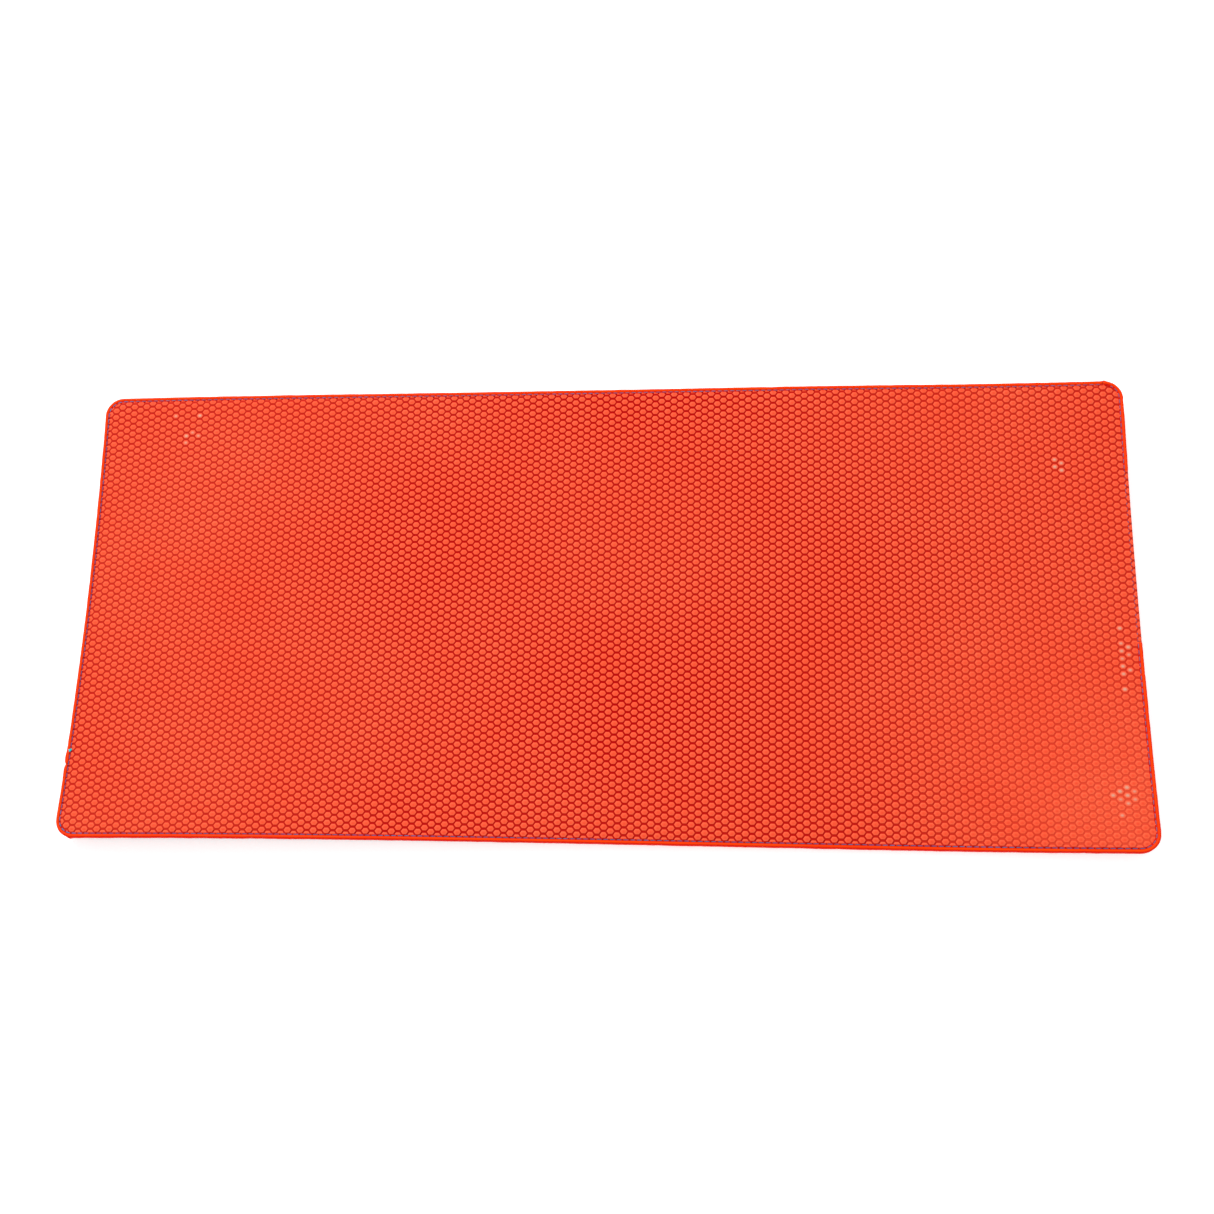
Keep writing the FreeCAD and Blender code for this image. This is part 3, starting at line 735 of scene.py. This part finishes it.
@dataclass
class TopCover:
    """The embossed top sheet: rows of cushioned six-sided cells with narrow grooves between them."""

    ground: Ground
    column_pitch: float = 3.0
    row_pitch: float = 3.6
    first_column: float = -1.9
    first_row: float = 1.2
    cell_share: tuple[float, float] = (0.81, 0.64)
    top_level: float = 3.25
    dish: float = 0.14
    groove_level: float = 2.56
    trim: float = 2.2
    trim_band: float = 4.0
    edge_level: float = 2.76
    edge_dip: float = 0.28
    fill_rise: float = 0.25
    roll: float = 0.5
    hem_cover: float = 0.05
    cover_from: float = 1.2
    roll_from: float = 1.0
    roll_run: float = 0.8
    shoulder_from: float = 0.1
    shoulder: float = 1.3
    weld: float = 0.02
    tone_seed: int = 11
    glint_seed: int = 29
    fill_shares: tuple[float, float, float] = (0.6, 0.22, 0.12)
    # Strength by which the painted shade of the grooves is lifted where they are pressed shallow.
    fill_mark: float = 0.6
    hem_inset: float = 0.55
    hem_top: float = 2.66
    hem_bottom: float = 2.14
    panel_bottom: float = 2.405
    panel_inset: float = 3.7
    back_step: float = 9.0
    wrap_inset: float = 0.3
    # Patches of cells that get a painted highlight: x, y, reach along, reach across, and the share of cells
    # in each.
    glint_spots: tuple[tuple[float, float, float, float, float], ...] = (
        (-205.0, 95.0, 11.0, 9.0, 0.35), (238.5, -24.0, 3.0, 18.0, 0.7), (234.0, -90.0, 5.5, 8.0, 0.75),
        (215.0, 70.0, 4.0, 4.0, 0.6))

    def build(self) -> bpy.types.Object:
        """Embosses, trims, hems and lays the sheet.

        Returns:
            The cover.
        """
        mesh = self._close(self._trim(self._emboss()))
        lay(mesh, self.ground.lie)
        cover = add_piece("embossed_top_cover", mesh, TOP_COVER, "top_cover")
        return cover

    def _centres(self) -> np.ndarray:
        """Middles of every cell that reaches the mat."""
        plan = self.ground.outline
        columns = np.arange(-math.ceil(plan.half_length / self.column_pitch) - 1,
                            math.ceil(plan.half_length / self.column_pitch) + 2)
        rows = np.arange(-math.ceil(plan.half_width / self.row_pitch) - 1,
                         math.ceil(plan.half_width / self.row_pitch) + 2)
        column, row = (grid.ravel() for grid in np.meshgrid(columns, rows))
        x = self.first_column + column * self.column_pitch
        y = self.first_row + (row + (column % 2) / 2) * self.row_pitch
        inset, _ = plan.inset(x, y)
        inside = inset > -self.row_pitch / 2
        return np.c_[x, y][inside]

    def _emboss(self) -> bmesh.types.BMesh:
        """Presses the cells, with the marks that colour them.

        Returns:
            The untrimmed sheet.
        """
        middles = self._centres()
        pitch_x, pitch_y = self.column_pitch, self.row_pitch
        corners = np.array([(2 * pitch_x / 3, 0), (pitch_x / 3, pitch_y / 2), (-pitch_x / 3, pitch_y / 2),
                            (-2 * pitch_x / 3, 0), (-pitch_x / 3, -pitch_y / 2), (pitch_x / 3, -pitch_y / 2)])
        outer = (middles[:, None] + corners).reshape(-1, 2)
        keys, shared = np.unique(np.round(outer * 50).astype(int), axis=0, return_inverse=True)
        floor = np.zeros((len(keys), 2))
        floor[shared.ravel()] = outer
        ring = (middles[:, None] + corners * np.array(self.cell_share)).reshape(-1, 2)
        plan = np.vstack([floor, ring, middles])
        counts = (len(floor), len(ring), len(middles))
        part = np.repeat([0, 1, 2], counts)
        fill = self._groove_fill(plan[:, 0], plan[:, 1])
        inset, _ = self.ground.outline.inset(plan[:, 0], plan[:, 1])
        top = np.where(part == 2, self.top_level - self.dish, self.top_level)
        level = np.where(part == 0, self.groove_level + self.fill_rise * fill, top)
        lowered = np.where(part == 0, self.edge_level - self.edge_dip, self.edge_level)
        wrapped = wrap_share(plan[:, 0], plan[:, 1])
        cover = self.hem_top + self.hem_cover - self.hem_bottom
        lowest = self.hem_bottom + cover * ease((self.cover_from - inset) / self.roll_run)
        rolled = np.maximum(level - self.roll * ease((self.roll_from - inset) / self.roll_run), lowest)
        level = lowered + (level - lowered) * ease((inset - self.trim - self.shoulder_from) / self.shoulder)
        level += (rolled - level) * wrapped
        chance = np.random.default_rng(self.tone_seed).random(len(middles))
        cell_tone = np.concatenate([np.full(counts[0], 0.5), np.repeat(chance, 6), chance])
        # Painted highlight, strongest in each chosen cell's middle.
        glint = self._glints(middles)
        cell_glint = np.concatenate([np.zeros(counts[0]), np.repeat(glint * 0.1, 6), glint])
        mesh = bpy.data.meshes.new("embossed_sheet")
        hexes = shared.reshape(-1, 6)
        rings = counts[0] + np.arange(counts[1]).reshape(-1, 6)
        hearts = counts[0] + counts[1] + np.arange(counts[2])
        faces: list[Face] = []
        for side in range(6):
            after = (side + 1) % 6
            faces += np.c_[hexes[:, side], hexes[:, after], rings[:, after], rings[:, side]].tolist()
            faces += np.c_[hearts, rings[:, side], rings[:, after]].tolist()
        mesh.from_pydata(np.c_[plan, level].tolist(), [], faces)
        # Marks that carry painted shade: low on each cell's wall, in the grooves, and in the dished middle of
        # each cell.
        paint_mark(mesh, "cell_rise", (part > 0).astype(float))
        paint_mark(mesh, "cell_heart", (part == 2).astype(float))
        paint_mark(mesh, "cell_tone", cell_tone)
        paint_mark(mesh, "cell_glint", cell_glint)
        # Lifts the painted shade of the grooves where they are pressed shallow.
        paint_mark(mesh, "groove_fill", self.fill_mark * fill)
        form = bmesh.new()
        form.from_mesh(mesh)
        bpy.data.meshes.remove(mesh)
        return form

    def _groove_fill(self, x: np.ndarray, y: np.ndarray) -> np.ndarray:
        """Share by which the grooves are pressed less deep, which grows towards the near right corner."""
        plan = self.ground.outline
        along, across = x / plan.half_length, y / plan.half_width
        corner = ease((along - 0.5) / 0.45) * ease((0.3 - across) / 1.2)
        ends = ease((np.abs(along) - 0.3) / 0.5)
        waves = 0.5 + 0.5 * np.sin(x / 41.0 + 1.1) * np.sin(y / 27.0 + 0.4)
        at_corner, at_ends, in_waves = self.fill_shares
        return np.clip(at_corner * corner + at_ends * ends + in_waves * waves, 0, 1)

    def _glints(self, middles: np.ndarray) -> np.ndarray:
        """How strongly each cell is painted with a highlight: a few cells in small patches."""
        chance = np.random.default_rng(self.glint_seed).random(len(middles))
        pale = np.zeros(len(middles))
        for x, y, reach_x, reach_y, share in self.glint_spots:
            near = np.hypot((middles[:, 0] - x) / reach_x, (middles[:, 1] - y) / reach_y) < 1
            pale = np.where(near & (chance < share), 0.65 + 0.35 * chance / share, pale)
        return pale

    def _depths(self, faces: Iterable[bmesh.types.BMFace]) -> tuple[np.ndarray, np.ndarray]:
        """Middles of faces in plan, and how far each lies inside the edge."""
        spots = np.array([face.calc_center_median()[:2] for face in faces])
        return spots, self.ground.outline.inset(spots[:, 0], spots[:, 1])[0]

    def _trim(self, form: bmesh.types.BMesh) -> bmesh.types.BMesh:
        """Cuts the sheet to the outline, working only on the cells near the edge."""
        plan = self.ground.outline
        _, inset = self._depths(form.faces)
        band = [face for face, depth in zip(form.faces, inset) if depth < self.trim + self.trim_band]
        geometry = set(band) | {e for f in band for e in f.edges} | {v for f in band for v in f.verts}
        cuts = plan.tangents(self.trim)
        cuts += [(Vector((0.0, y, 0.0)), Vector((0.0, 1.0, 0.0))) for y in WRAPPED]
        cuts.append((Vector((plan.half_length - self.wrap_inset, 0.0, 0.0)), Vector((1.0, 0.0, 0.0))))
        for place, normal in cuts:
            cut = bmesh.ops.bisect_plane(form, geom=list(geometry), dist=1e-4, plane_co=place,
                                         plane_no=normal)
            geometry = set(geometry) | set(cut["geom"])
        faces = [item for item in geometry if isinstance(item, bmesh.types.BMFace) and item.is_valid]
        spots, inset = self._depths(faces)
        over = (spots[:, 0] > 0) & (spots[:, 1] > WRAPPED[0]) & (spots[:, 1] < WRAPPED[1])
        spare = inset < np.where(over, self.wrap_inset, self.trim)
        bmesh.ops.delete(form, geom=[face for face, waste in zip(faces, spare) if waste], context="FACES")
        bmesh.ops.remove_doubles(form, verts=[v for v in form.verts if v.is_boundary], dist=self.weld)
        return form

    def _close(self, form: bmesh.types.BMesh) -> bpy.types.Mesh:
        """Turns the hem under the binding and closes the back of the sheet.

        Args:
            form: The trimmed sheet.

        Returns:
            The closed sheet.
        """
        marks = {layer.name: layer for layer in form.verts.layers.float.values()}
        for level in (self.hem_top, self.hem_bottom):
            edges = [edge for edge in form.edges if edge.is_boundary]
            new = bmesh.ops.extrude_edge_only(form, edges=edges)["geom"]
            rim = [item for item in new if isinstance(item, bmesh.types.BMVert)]
            spots = np.array([vert.co[:2] for vert in rim])
            inset, normal = self.ground.outline.inset(spots[:, 0], spots[:, 1])
            moved = spots + normal * np.maximum(inset - self.hem_inset, 0)[:, None]
            for vert, spot in zip(rim, moved):
                vert.co = (*spot, level)
            bmesh.ops.remove_doubles(form, verts=rim, dist=self.weld)
        edges = [edge for edge in form.edges if edge.is_boundary]
        loop = list({vert for edge in edges for vert in edge.verts})
        index = {vert: k for k, vert in enumerate(loop)}
        inner = self._back_points()
        spots = [Vector(vert.co[:2]) for vert in loop] + [Vector(spot) for spot in inner]
        links = [tuple(index[vert] for vert in edge.verts) for edge in edges]
        _, _, faces, origins, _, _ = delaunay_2d_cdt(spots, links, [], 1, 1e-4)
        depth, _ = self.ground.outline.inset(inner[:, 0], inner[:, 1])
        raised = self.hem_bottom + (self.panel_bottom - self.hem_bottom) * (depth > self.panel_inset - 0.1)
        inside = [form.verts.new((*spot, level)) for spot, level in zip(inner, raised)]
        for vert in inside:
            vert[marks["cell_rise"]] = 1.0
        known = loop + inside
        for face in faces:
            form.faces.new([known[origins[corner][0]] for corner in face])
        bmesh.ops.recalc_face_normals(form, faces=form.faces)
        return mesh_of(form, "embossed_top_cover")

    def _back_points(self) -> np.ndarray:
        """Places on the back of the sheet, with two rows where the hem steps up to the panel."""
        plan = self.ground.outline
        places, normals = plan.walk(self.back_step / 2)
        rows = [(places - normals * inset)[:-1] for inset in (self.panel_inset - 0.3, self.panel_inset)]
        x = np.arange(-plan.half_length + 9, plan.half_length - 8, self.back_step)
        y = np.arange(-plan.half_width + 9, plan.half_width - 8, self.back_step)
        grid = np.array(np.meshgrid(x, y)).reshape(2, -1).T
        return np.vstack([*rows, grid])


@dataclass
class EdgeBinding:
    """The sewn binding: a rounded lip folded round the edge, in two lengths that meet at two joints."""

    ground: Ground
    step: float = 0.75
    far_joint_x: float = 239.0
    left_joint_y: float = -77.4
    joint_gap: float = 0.3
    stitch_pitch: float = 3.0
    pucker: float = 0.14
    waver: float = 0.12
    swell: float = 0.4
    swell_run: float = 7.0
    rim_inset: float = 0.9
    seam_inset: float = 1.95
    seam_half: float = 0.42
    upper_level: float = 1.6
    wrapped_inset: float = 0.25
    wrapped_drop: float = 0.7
    nib_size: float = 0.45
    nib_reach: float = 0.9
    notch: float = 0.45
    notch_reach: float = 0.7
    nibs: tuple[tuple[float, float], ...] = ((239.0, 112.5), (-240.0, -112.5))
    section: tuple[tuple[float, float], ...] = (
        (0.0, 1.6), (0.0, 2.2), (0.08, 2.65), (0.3, 2.98), (0.65, 3.18), (1.05, 3.22), (1.4, 3.12),
        (1.65, 2.96), (1.9, 2.86), (2.15, 2.9), (2.4, 2.88), (2.4, 2.78), (1.5, 2.7), (0.5, 2.7),
        (0.45, 0.55), (1.5, 0.42), (2.4, 0.4), (2.4, 0.05), (1.9, 0.1), (1.4, 0.02), (0.7, 0.0),
        (0.3, 0.12), (0.08, 0.45), (0.0, 1.0))

    def build(self) -> list[bpy.types.Object]:
        """Sews both lengths on.

        Returns:
            The far and the near length.
        """
        places, normals = self.ground.outline.walk(self.step)
        run = distances(places)
        far = self._distance(places, run, self.far_joint_x, self.ground.outline.half_width)
        left = self._distance(places, run, -self.ground.outline.half_length, self.left_joint_y)
        gap = self.joint_gap / 2
        lengths = (("far_edge_binding", far + gap, left - gap),
                   ("near_edge_binding", left + gap, far + run[-1] - gap))
        return [self._length(name, start, end, places, normals, run) for name, start, end in lengths]

    @staticmethod
    def _distance(places: np.ndarray, run: np.ndarray, x: float, y: float) -> float:
        """Distance along the edge of the place nearest to a spot."""
        return float(run[np.argmin(np.hypot(places[:, 0] - x, places[:, 1] - y))])

    def _length(self, name: str, start: float, end: float, places: np.ndarray, normals: np.ndarray,
                run: np.ndarray) -> bpy.types.Object:
        """Folds one length of binding round the edge.

        Args:
            name: The length's node.
            start: Where it starts along the edge.
            end: Where it ends along the edge.
            places: Places on the edge.
            normals: Their outward normals.
            run: Their distances along the edge.

        Returns:
            The laid length.
        """
        stops = np.arange(start, end, self.step)
        stops = np.append(stops[:-1], end)
        turn = stops % run[-1]
        spot = np.c_[np.interp(turn, run, places[:, 0]), np.interp(turn, run, places[:, 1])]
        out = np.c_[np.interp(turn, run, normals[:, 0]), np.interp(turn, run, normals[:, 1])]
        out /= np.linalg.norm(out, axis=1)[:, None]
        inset, level = (np.array(column) for column in zip(*self.section))
        outside = np.clip((self.rim_inset - inset) / self.rim_inset, 0, 1)
        seam = np.exp(-(((inset - self.seam_inset) / self.seam_half) ** 2)) * (level > self.upper_level)
        uneven = 0.6 * ragged(turn, 5.0, seed=3) + 0.4 * ragged(turn, 1.4, seed=4)
        nicks = np.clip(ragged(turn, 2.1, seed=5) - 0.72, 0, 1) / 0.28
        pull = np.abs(np.cos(math.pi * turn / self.stitch_pitch)) ** 4
        growth = self._growth(spot, name, stops - start, end - stops)
        wrapped = wrap_share(spot[:, 0], spot[:, 1])[:, None]
        depth = inset[None] + self.waver * outside[None] * (uneven + 0.9 * nicks)[:, None]
        depth += outside[None] * (self.wrapped_inset * wrapped - growth[:, None])
        height = level[None] - self.pucker * seam[None] * pull[:, None]
        height -= self.wrapped_drop * wrapped * np.clip(level[None] - self.upper_level, 0, None)
        plan = spot[:, None] - out[:, None] * depth[:, :, None]
        rings = np.concatenate([plan, height[:, :, None]], axis=2)
        mesh = mesh_from(name, rings, sweep(rings, closed=False))
        # Painted shade: darker red on the binding's outer side, inner slope and underside, and in the nicks
        # of its edge; only the crest keeps the bright orange, as painted highlight.
        top = np.interp(inset, (0.0, 0.3, 0.65, 0.9, 1.25, 1.5, 1.7), (1.0, 0.85, 0.3, 0.0, 0.0, 0.6, 1.0))
        side = np.where(level > 2.5, top, 1.0)
        marks = np.clip(side[None] + 0.6 * outside[None] * nicks[:, None], 0, 1)
        paint_mark(mesh, "rim_side_shade", marks.ravel())
        # Painted shade in the stitch holes, deepest where the thread pulls them in, and stronger on the left
        # and near sides.
        shaded = 0.4 + 0.6 * np.clip(-out.sum(1), 0, 1)
        holes = seam[None] * ((0.55 + 0.45 * pull) * shaded)[:, None]
        paint_mark(mesh, "seam_hole_shade", holes.ravel())
        lay(mesh, self.ground.lie)
        return add_piece(name + "_sewn", mesh, BINDING, name)

    def _growth(self, spot: np.ndarray, name: str, from_start: np.ndarray,
                to_end: np.ndarray) -> np.ndarray:
        """How far the binding stands out more than usual.

        Args:
            spot: Places on the edge.
            name: The length's node.
            from_start: Distance of each place from the length's start.
            to_end: Distance of each place from the length's end.

        Returns:
            The growth: small nibs, and a swelling that ends in a notch at the left joint.
        """
        growth = np.zeros(len(spot))
        for x, y in self.nibs:
            away = np.hypot(spot[:, 0] - x, spot[:, 1] - y) / self.nib_reach
            growth += self.nib_size * np.exp(-(away ** 2))
        left = to_end if name.startswith("far") else from_start
        reach = 1.0 if name.startswith("far") else 0.5
        growth += reach * self.swell * np.sin(math.pi * np.clip(left / self.swell_run, 0, 1))
        return growth - self.notch * np.exp(-((left / self.notch_reach) ** 2))


@dataclass
class Seam:
    """The lockstitch through the binding: a needle thread above, a bobbin thread below, and the knot."""

    ground: Ground
    inset: float = 1.9
    pitch: float = 3.0
    thickness: float = 0.38
    flatness: float = 0.7
    sides: int = 6
    steps: int = 8
    dip: float = 0.5
    needle_level: float = 2.96
    bobbin_level: float = 0.05
    tucked_spot: tuple[float, float] = (239.6, 110.2)
    tuck: float = 0.7
    tuck_reach: float = 2.2
    slack: float = 0.05
    blue_inset: float = 5.0
    blue_reach: float = 14.0
    knot_spot: tuple[float, float, float] = (-245.6, -70.4, 3.3)
    knot_size: float = 0.62
    knot_thread: float = 0.21
    tail_thread: float = 0.12

    def build(self) -> list[bpy.types.Object]:
        """Sews both threads and ties the knot."""
        return [self._thread("needle_thread", self.needle_level, -1.0),
                self._thread("bobbin_thread", self.bobbin_level, 1.0), self._knot()]

    def _thread(self, node: str, level: float, inward: float) -> bpy.types.Object:
        """Runs one thread round the mat, dipping into the cloth between stitches.

        Args:
            node: The thread's node.
            level: Height of its middle in a stitch.
            inward: Way in which it dips, -1 down or 1 up.

        Returns:
            The laid thread.
        """
        places, normals = self.ground.outline.walk(1.0)
        line = places - normals * self.inset
        run = distances(line)
        count = round(run[-1] / self.pitch)
        stops = np.arange(count * self.steps) / (count * self.steps) * run[-1]
        share = np.arange(count * self.steps) % self.steps / self.steps
        x, y, across_x, across_y = (np.interp(stops, run, column) for column in
                                    (line[:, 0], line[:, 1], normals[:, 0], normals[:, 1]))
        arch = np.sin(math.pi * share) ** 0.7
        slack = self.slack * ragged(stops, self.pitch, seed=17)
        height = level + inward * self.dip * (1 - arch)
        if inward < 0:
            joint_x, joint_y = self.tucked_spot
            away = np.hypot(x - joint_x, y - joint_y) / self.tuck_reach
            height -= self.tuck * np.exp(-(away ** 4))
        half = self.thickness / 2 * (0.75 + 0.25 * arch)
        angles = np.linspace(0, 2 * math.pi, self.sides, endpoint=False)
        sideways = half[:, None] * np.cos(angles)[None] + slack[:, None]
        upward = self.flatness * half[:, None] * np.sin(angles)[None]
        rings = np.stack([x[:, None] + across_x[:, None] * sideways,
                          y[:, None] + across_y[:, None] * sideways, height[:, None] + upward], axis=2)
        mesh = mesh_from(node, rings, sweep(rings, closed=True))
        plan = self.ground.outline
        from_corner = np.hypot(np.abs(x) - plan.half_length + self.blue_inset,
                               np.abs(y) - plan.half_width + self.blue_inset)
        corner = np.clip(1 - from_corner / self.blue_reach, 0, 1) * (x < 0)
        blue = np.clip(corner + 0.4 * (ragged(stops, 9.0, seed=23) > 0.55), 0, 1)
        paint_mark(mesh, "blue_run", np.repeat(blue, self.sides))
        # Painted shade on the thread: darker blue-grey on the left and near sides, and darker where each
        # stitch dives into the cloth.
        shaded_side = np.clip(-across_x - across_y, 0, 1) * (1 - blue)
        paint_mark(mesh, "shaded_side_run", np.repeat(shaded_side, self.sides))
        paint_mark(mesh, "stitch_end_shade", np.repeat(np.clip(1.15 - 1.5 * arch, 0, 1), self.sides))
        lay(mesh, self.ground.lie)
        return add_piece(node + "_stitches", mesh, THREAD, node)

    def _knot(self) -> bpy.types.Object:
        """Ties the thread's ends in a small knot with two cut tails."""
        turn = np.linspace(0, 2 * math.pi, 72, endpoint=False)
        size = self.knot_size
        line = np.c_[size * (np.sin(turn) + 1.6 * np.sin(2 * turn)) / 2.6,
                     size * (np.cos(turn) - 1.6 * np.cos(2 * turn)) / 2.6,
                     -0.45 * size * np.sin(3 * turn)]
        pieces = [self._tube(line, self.knot_thread, closed=True)]
        for way in (-1.0, 1.0):
            reach = np.linspace(0, 1, 7)[:, None]
            tail = np.array([[way * 0.2, 0.1, 0.0]]) + reach * np.array([[way * 0.25, 0.9 * way, -0.1]])
            pieces.append(self._tube(tail, self.tail_thread, closed=False))
        offset, points, faces = 0, [], []
        for rings, shape in pieces:
            points.append(rings.reshape(-1, 3) + np.array(self.knot_spot))
            faces += [tuple(corner + offset for corner in face) for face in shape]
            offset += rings.shape[0] * rings.shape[1]
        mesh = mesh_from("seam_knot", np.vstack(points), faces)
        lay(mesh, self.ground.lie)
        return add_piece("seam_knot_tied", mesh, KNOT, "seam_knot")

    @staticmethod
    def _tube(line: np.ndarray, radius: float, closed: bool) -> tuple[np.ndarray, list[Face]]:
        """A round thread that follows a line.

        Args:
            line: Points on its middle.
            radius: Its radius.
            closed: Whether its ends meet.

        Returns:
            Its rings and faces.
        """
        ahead = np.roll(line, -1, 0) - np.roll(line, 1, 0) if closed else np.gradient(line, axis=0)
        ahead /= np.linalg.norm(ahead, axis=1)[:, None]
        side = np.cross(ahead, [0.0, 0.0, 1.0])
        side /= np.linalg.norm(side, axis=1)[:, None]
        up = np.cross(side, ahead)
        angles = np.linspace(0, 2 * math.pi, 8, endpoint=False)
        rings = line[:, None] + radius * (side[:, None] * np.cos(angles)[None, :, None]
                                          + up[:, None] * np.sin(angles)[None, :, None])
        return rings, sweep(rings, closed)


STANDING_FOR = ("top_cover", "far_edge_binding", "near_edge_binding", "needle_thread", "bobbin_thread",
                "seam_knot")


@dataclass
class Sandwich:
    """Everything between the covers, and the base cover itself."""

    ground: Ground

    def build(self) -> None:
        finishes = {
            "base_cover": BASE_COVER, "reflector_film": FILM, "insulation_foam": FOAM,
            "element_scrim": SCRIM, "heat_spreader_foil": FOIL, "inlet_gland": GLAND}
        for node in sorted(frame["nodes"]):
            if node not in finishes and node not in STANDING_FOR:
                finishes[node] = self._fitting_finish(node)
        for node, finish in finishes.items():
            piece = InnerLayer(node, finish, self.ground).build()

    @staticmethod
    def _fitting_finish(node: str) -> Finish:
        """Chooses the finish that suits a wire or fitting from the slot that the frame names."""
        slots = {row["node"]: row["material_slot"] for row in frame["record"]["subparts"]}
        fittings = (WIRE, JACKET, LEAD, COPPER, CRIMP, SLEEVE, CUTOUT)
        return {finish.slot: finish for finish in fittings}[slots[node]]


# ------------------------------------------------------------------ studio


@dataclass
class Studio:
    """A pale floor, soft white light and the camera."""

    floor_size: float = 14.0
    floor_drop: float = 0.0002
    floor_glow: float = 0.5
    sky: float = 0.62
    camera_spot: tuple[float, float, float] = (0.0819, -0.2687, 0.7595)
    camera_aim: tuple[float, float, float] = (0.0049, -0.0002, 0.005)
    camera_roll: float = -0.2636
    lens: float = 50.93
    lights: tuple[tuple[str, tuple[float, float, float], float, float], ...] = (
        ("key_light", (-0.8, 1.2, 1.4), 0.8, 28.0), ("fill_light", (1.1, -0.7, 1.6), 1.4, 6.0))

    def build(self) -> None:
        """Sets up floor, light and camera."""
        scene = bpy.context.scene
        scene.view_settings.view_transform = "Standard"
        self._floor()
        world = bpy.data.worlds.new("studio_light")
        world.use_nodes = True
        wiring = Wiring(world.node_tree)
        soft = wiring.place("ShaderNodeBackground", {}, Color=(1.0, 1.0, 1.0), Strength=self.sky)
        plain = wiring.place("ShaderNodeBackground", {}, Color=(1.0, 1.0, 1.0), Strength=1.0)
        seen = wiring.place("ShaderNodeLightPath").outputs["Is Camera Ray"]
        both = wiring.place("ShaderNodeMixShader", {}, _0=seen, _1=soft.outputs[0], _2=plain.outputs[0])
        wiring.feed(world.node_tree.nodes["World Output"].inputs["Surface"], both.outputs[0])
        scene.world = world
        for light in self.lights:
            self._light(*light)
        self._camera()

    def _floor(self) -> None:
        """Lays the pale floor just under the mat, clear when it is seen from below."""
        form = bmesh.new()
        bmesh.ops.create_grid(form, x_segments=8, y_segments=8, size=self.floor_size / 2)
        mesh = mesh_of(form, "studio_floor")
        material = bpy.data.materials.new("studio_white")
        material.use_nodes = True
        shader = material.node_tree.nodes["Principled BSDF"]
        shader.inputs["Base Color"].default_value = (0.93, 0.93, 0.93, 1.0)
        shader.inputs["Roughness"].default_value = 0.9
        shader.inputs["Specular IOR Level"].default_value = 0.0
        shader.inputs["Emission Color"].default_value = (1.0, 1.0, 1.0, 1.0)
        shader.inputs["Emission Strength"].default_value = self.floor_glow
        wiring = Wiring(material.node_tree)
        clear = wiring.place("ShaderNodeBsdfTransparent").outputs[0]
        below = wiring.place("ShaderNodeNewGeometry").outputs["Backfacing"]
        both = wiring.place("ShaderNodeMixShader", {}, _0=below, _1=shader.outputs[0], _2=clear)
        wiring.feed(material.node_tree.nodes["Material Output"].inputs["Surface"], both.outputs[0])
        mesh.materials.append(material)
        floor = put("studio_floor", mesh)
        floor.location.z = -self.floor_drop

    @staticmethod
    def _light(name: str, spot: tuple[float, float, float], size: float, power: float) -> None:
        """Hangs one soft light that faces the mat.

        Args:
            name: The light's name.
            spot: Where it hangs.
            size: Width of its square face.
            power: Its power in watts.
        """
        data = bpy.data.lights.new(name, "AREA")
        data.shape, data.size, data.energy = "SQUARE", size, power
        light = put(name, data)
        light.location = spot
        light.rotation_euler = (-Vector(spot)).to_track_quat("-Z", "Y").to_euler()

    def _camera(self) -> None:
        """Sets the camera where it looks down on the mat."""
        data = bpy.data.cameras.new("camera")
        data.lens, data.sensor_width = self.lens, 36.0
        data.clip_start, data.clip_end = 0.01, 60.0
        camera = put("camera", data)
        toward = Vector(self.camera_aim) - Vector(self.camera_spot)
        facing = toward.to_track_quat("-Z", "Y").to_matrix().to_4x4()
        camera.matrix_world = (Matrix.Translation(self.camera_spot) @ facing
                               @ Matrix.Rotation(self.camera_roll, 4, "Z"))
        bpy.context.scene.camera = camera


def main() -> None:
    """Builds the studio, then the mat from the base up."""
    logging.basicConfig(level=logging.INFO, format="%(name)s: %(message)s")
    low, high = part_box("far_edge_binding")
    half_length, half_width = -low.x / MM, high.y / MM
    ground = Ground(Outline(half_length, half_width), Lie(half_length, half_width))
    Studio().build()
    Sandwich(ground).build()
    TopCover(ground).build()
    EdgeBinding(ground).build()
    Seam(ground).build()


if __name__ == "__main__":
    main()
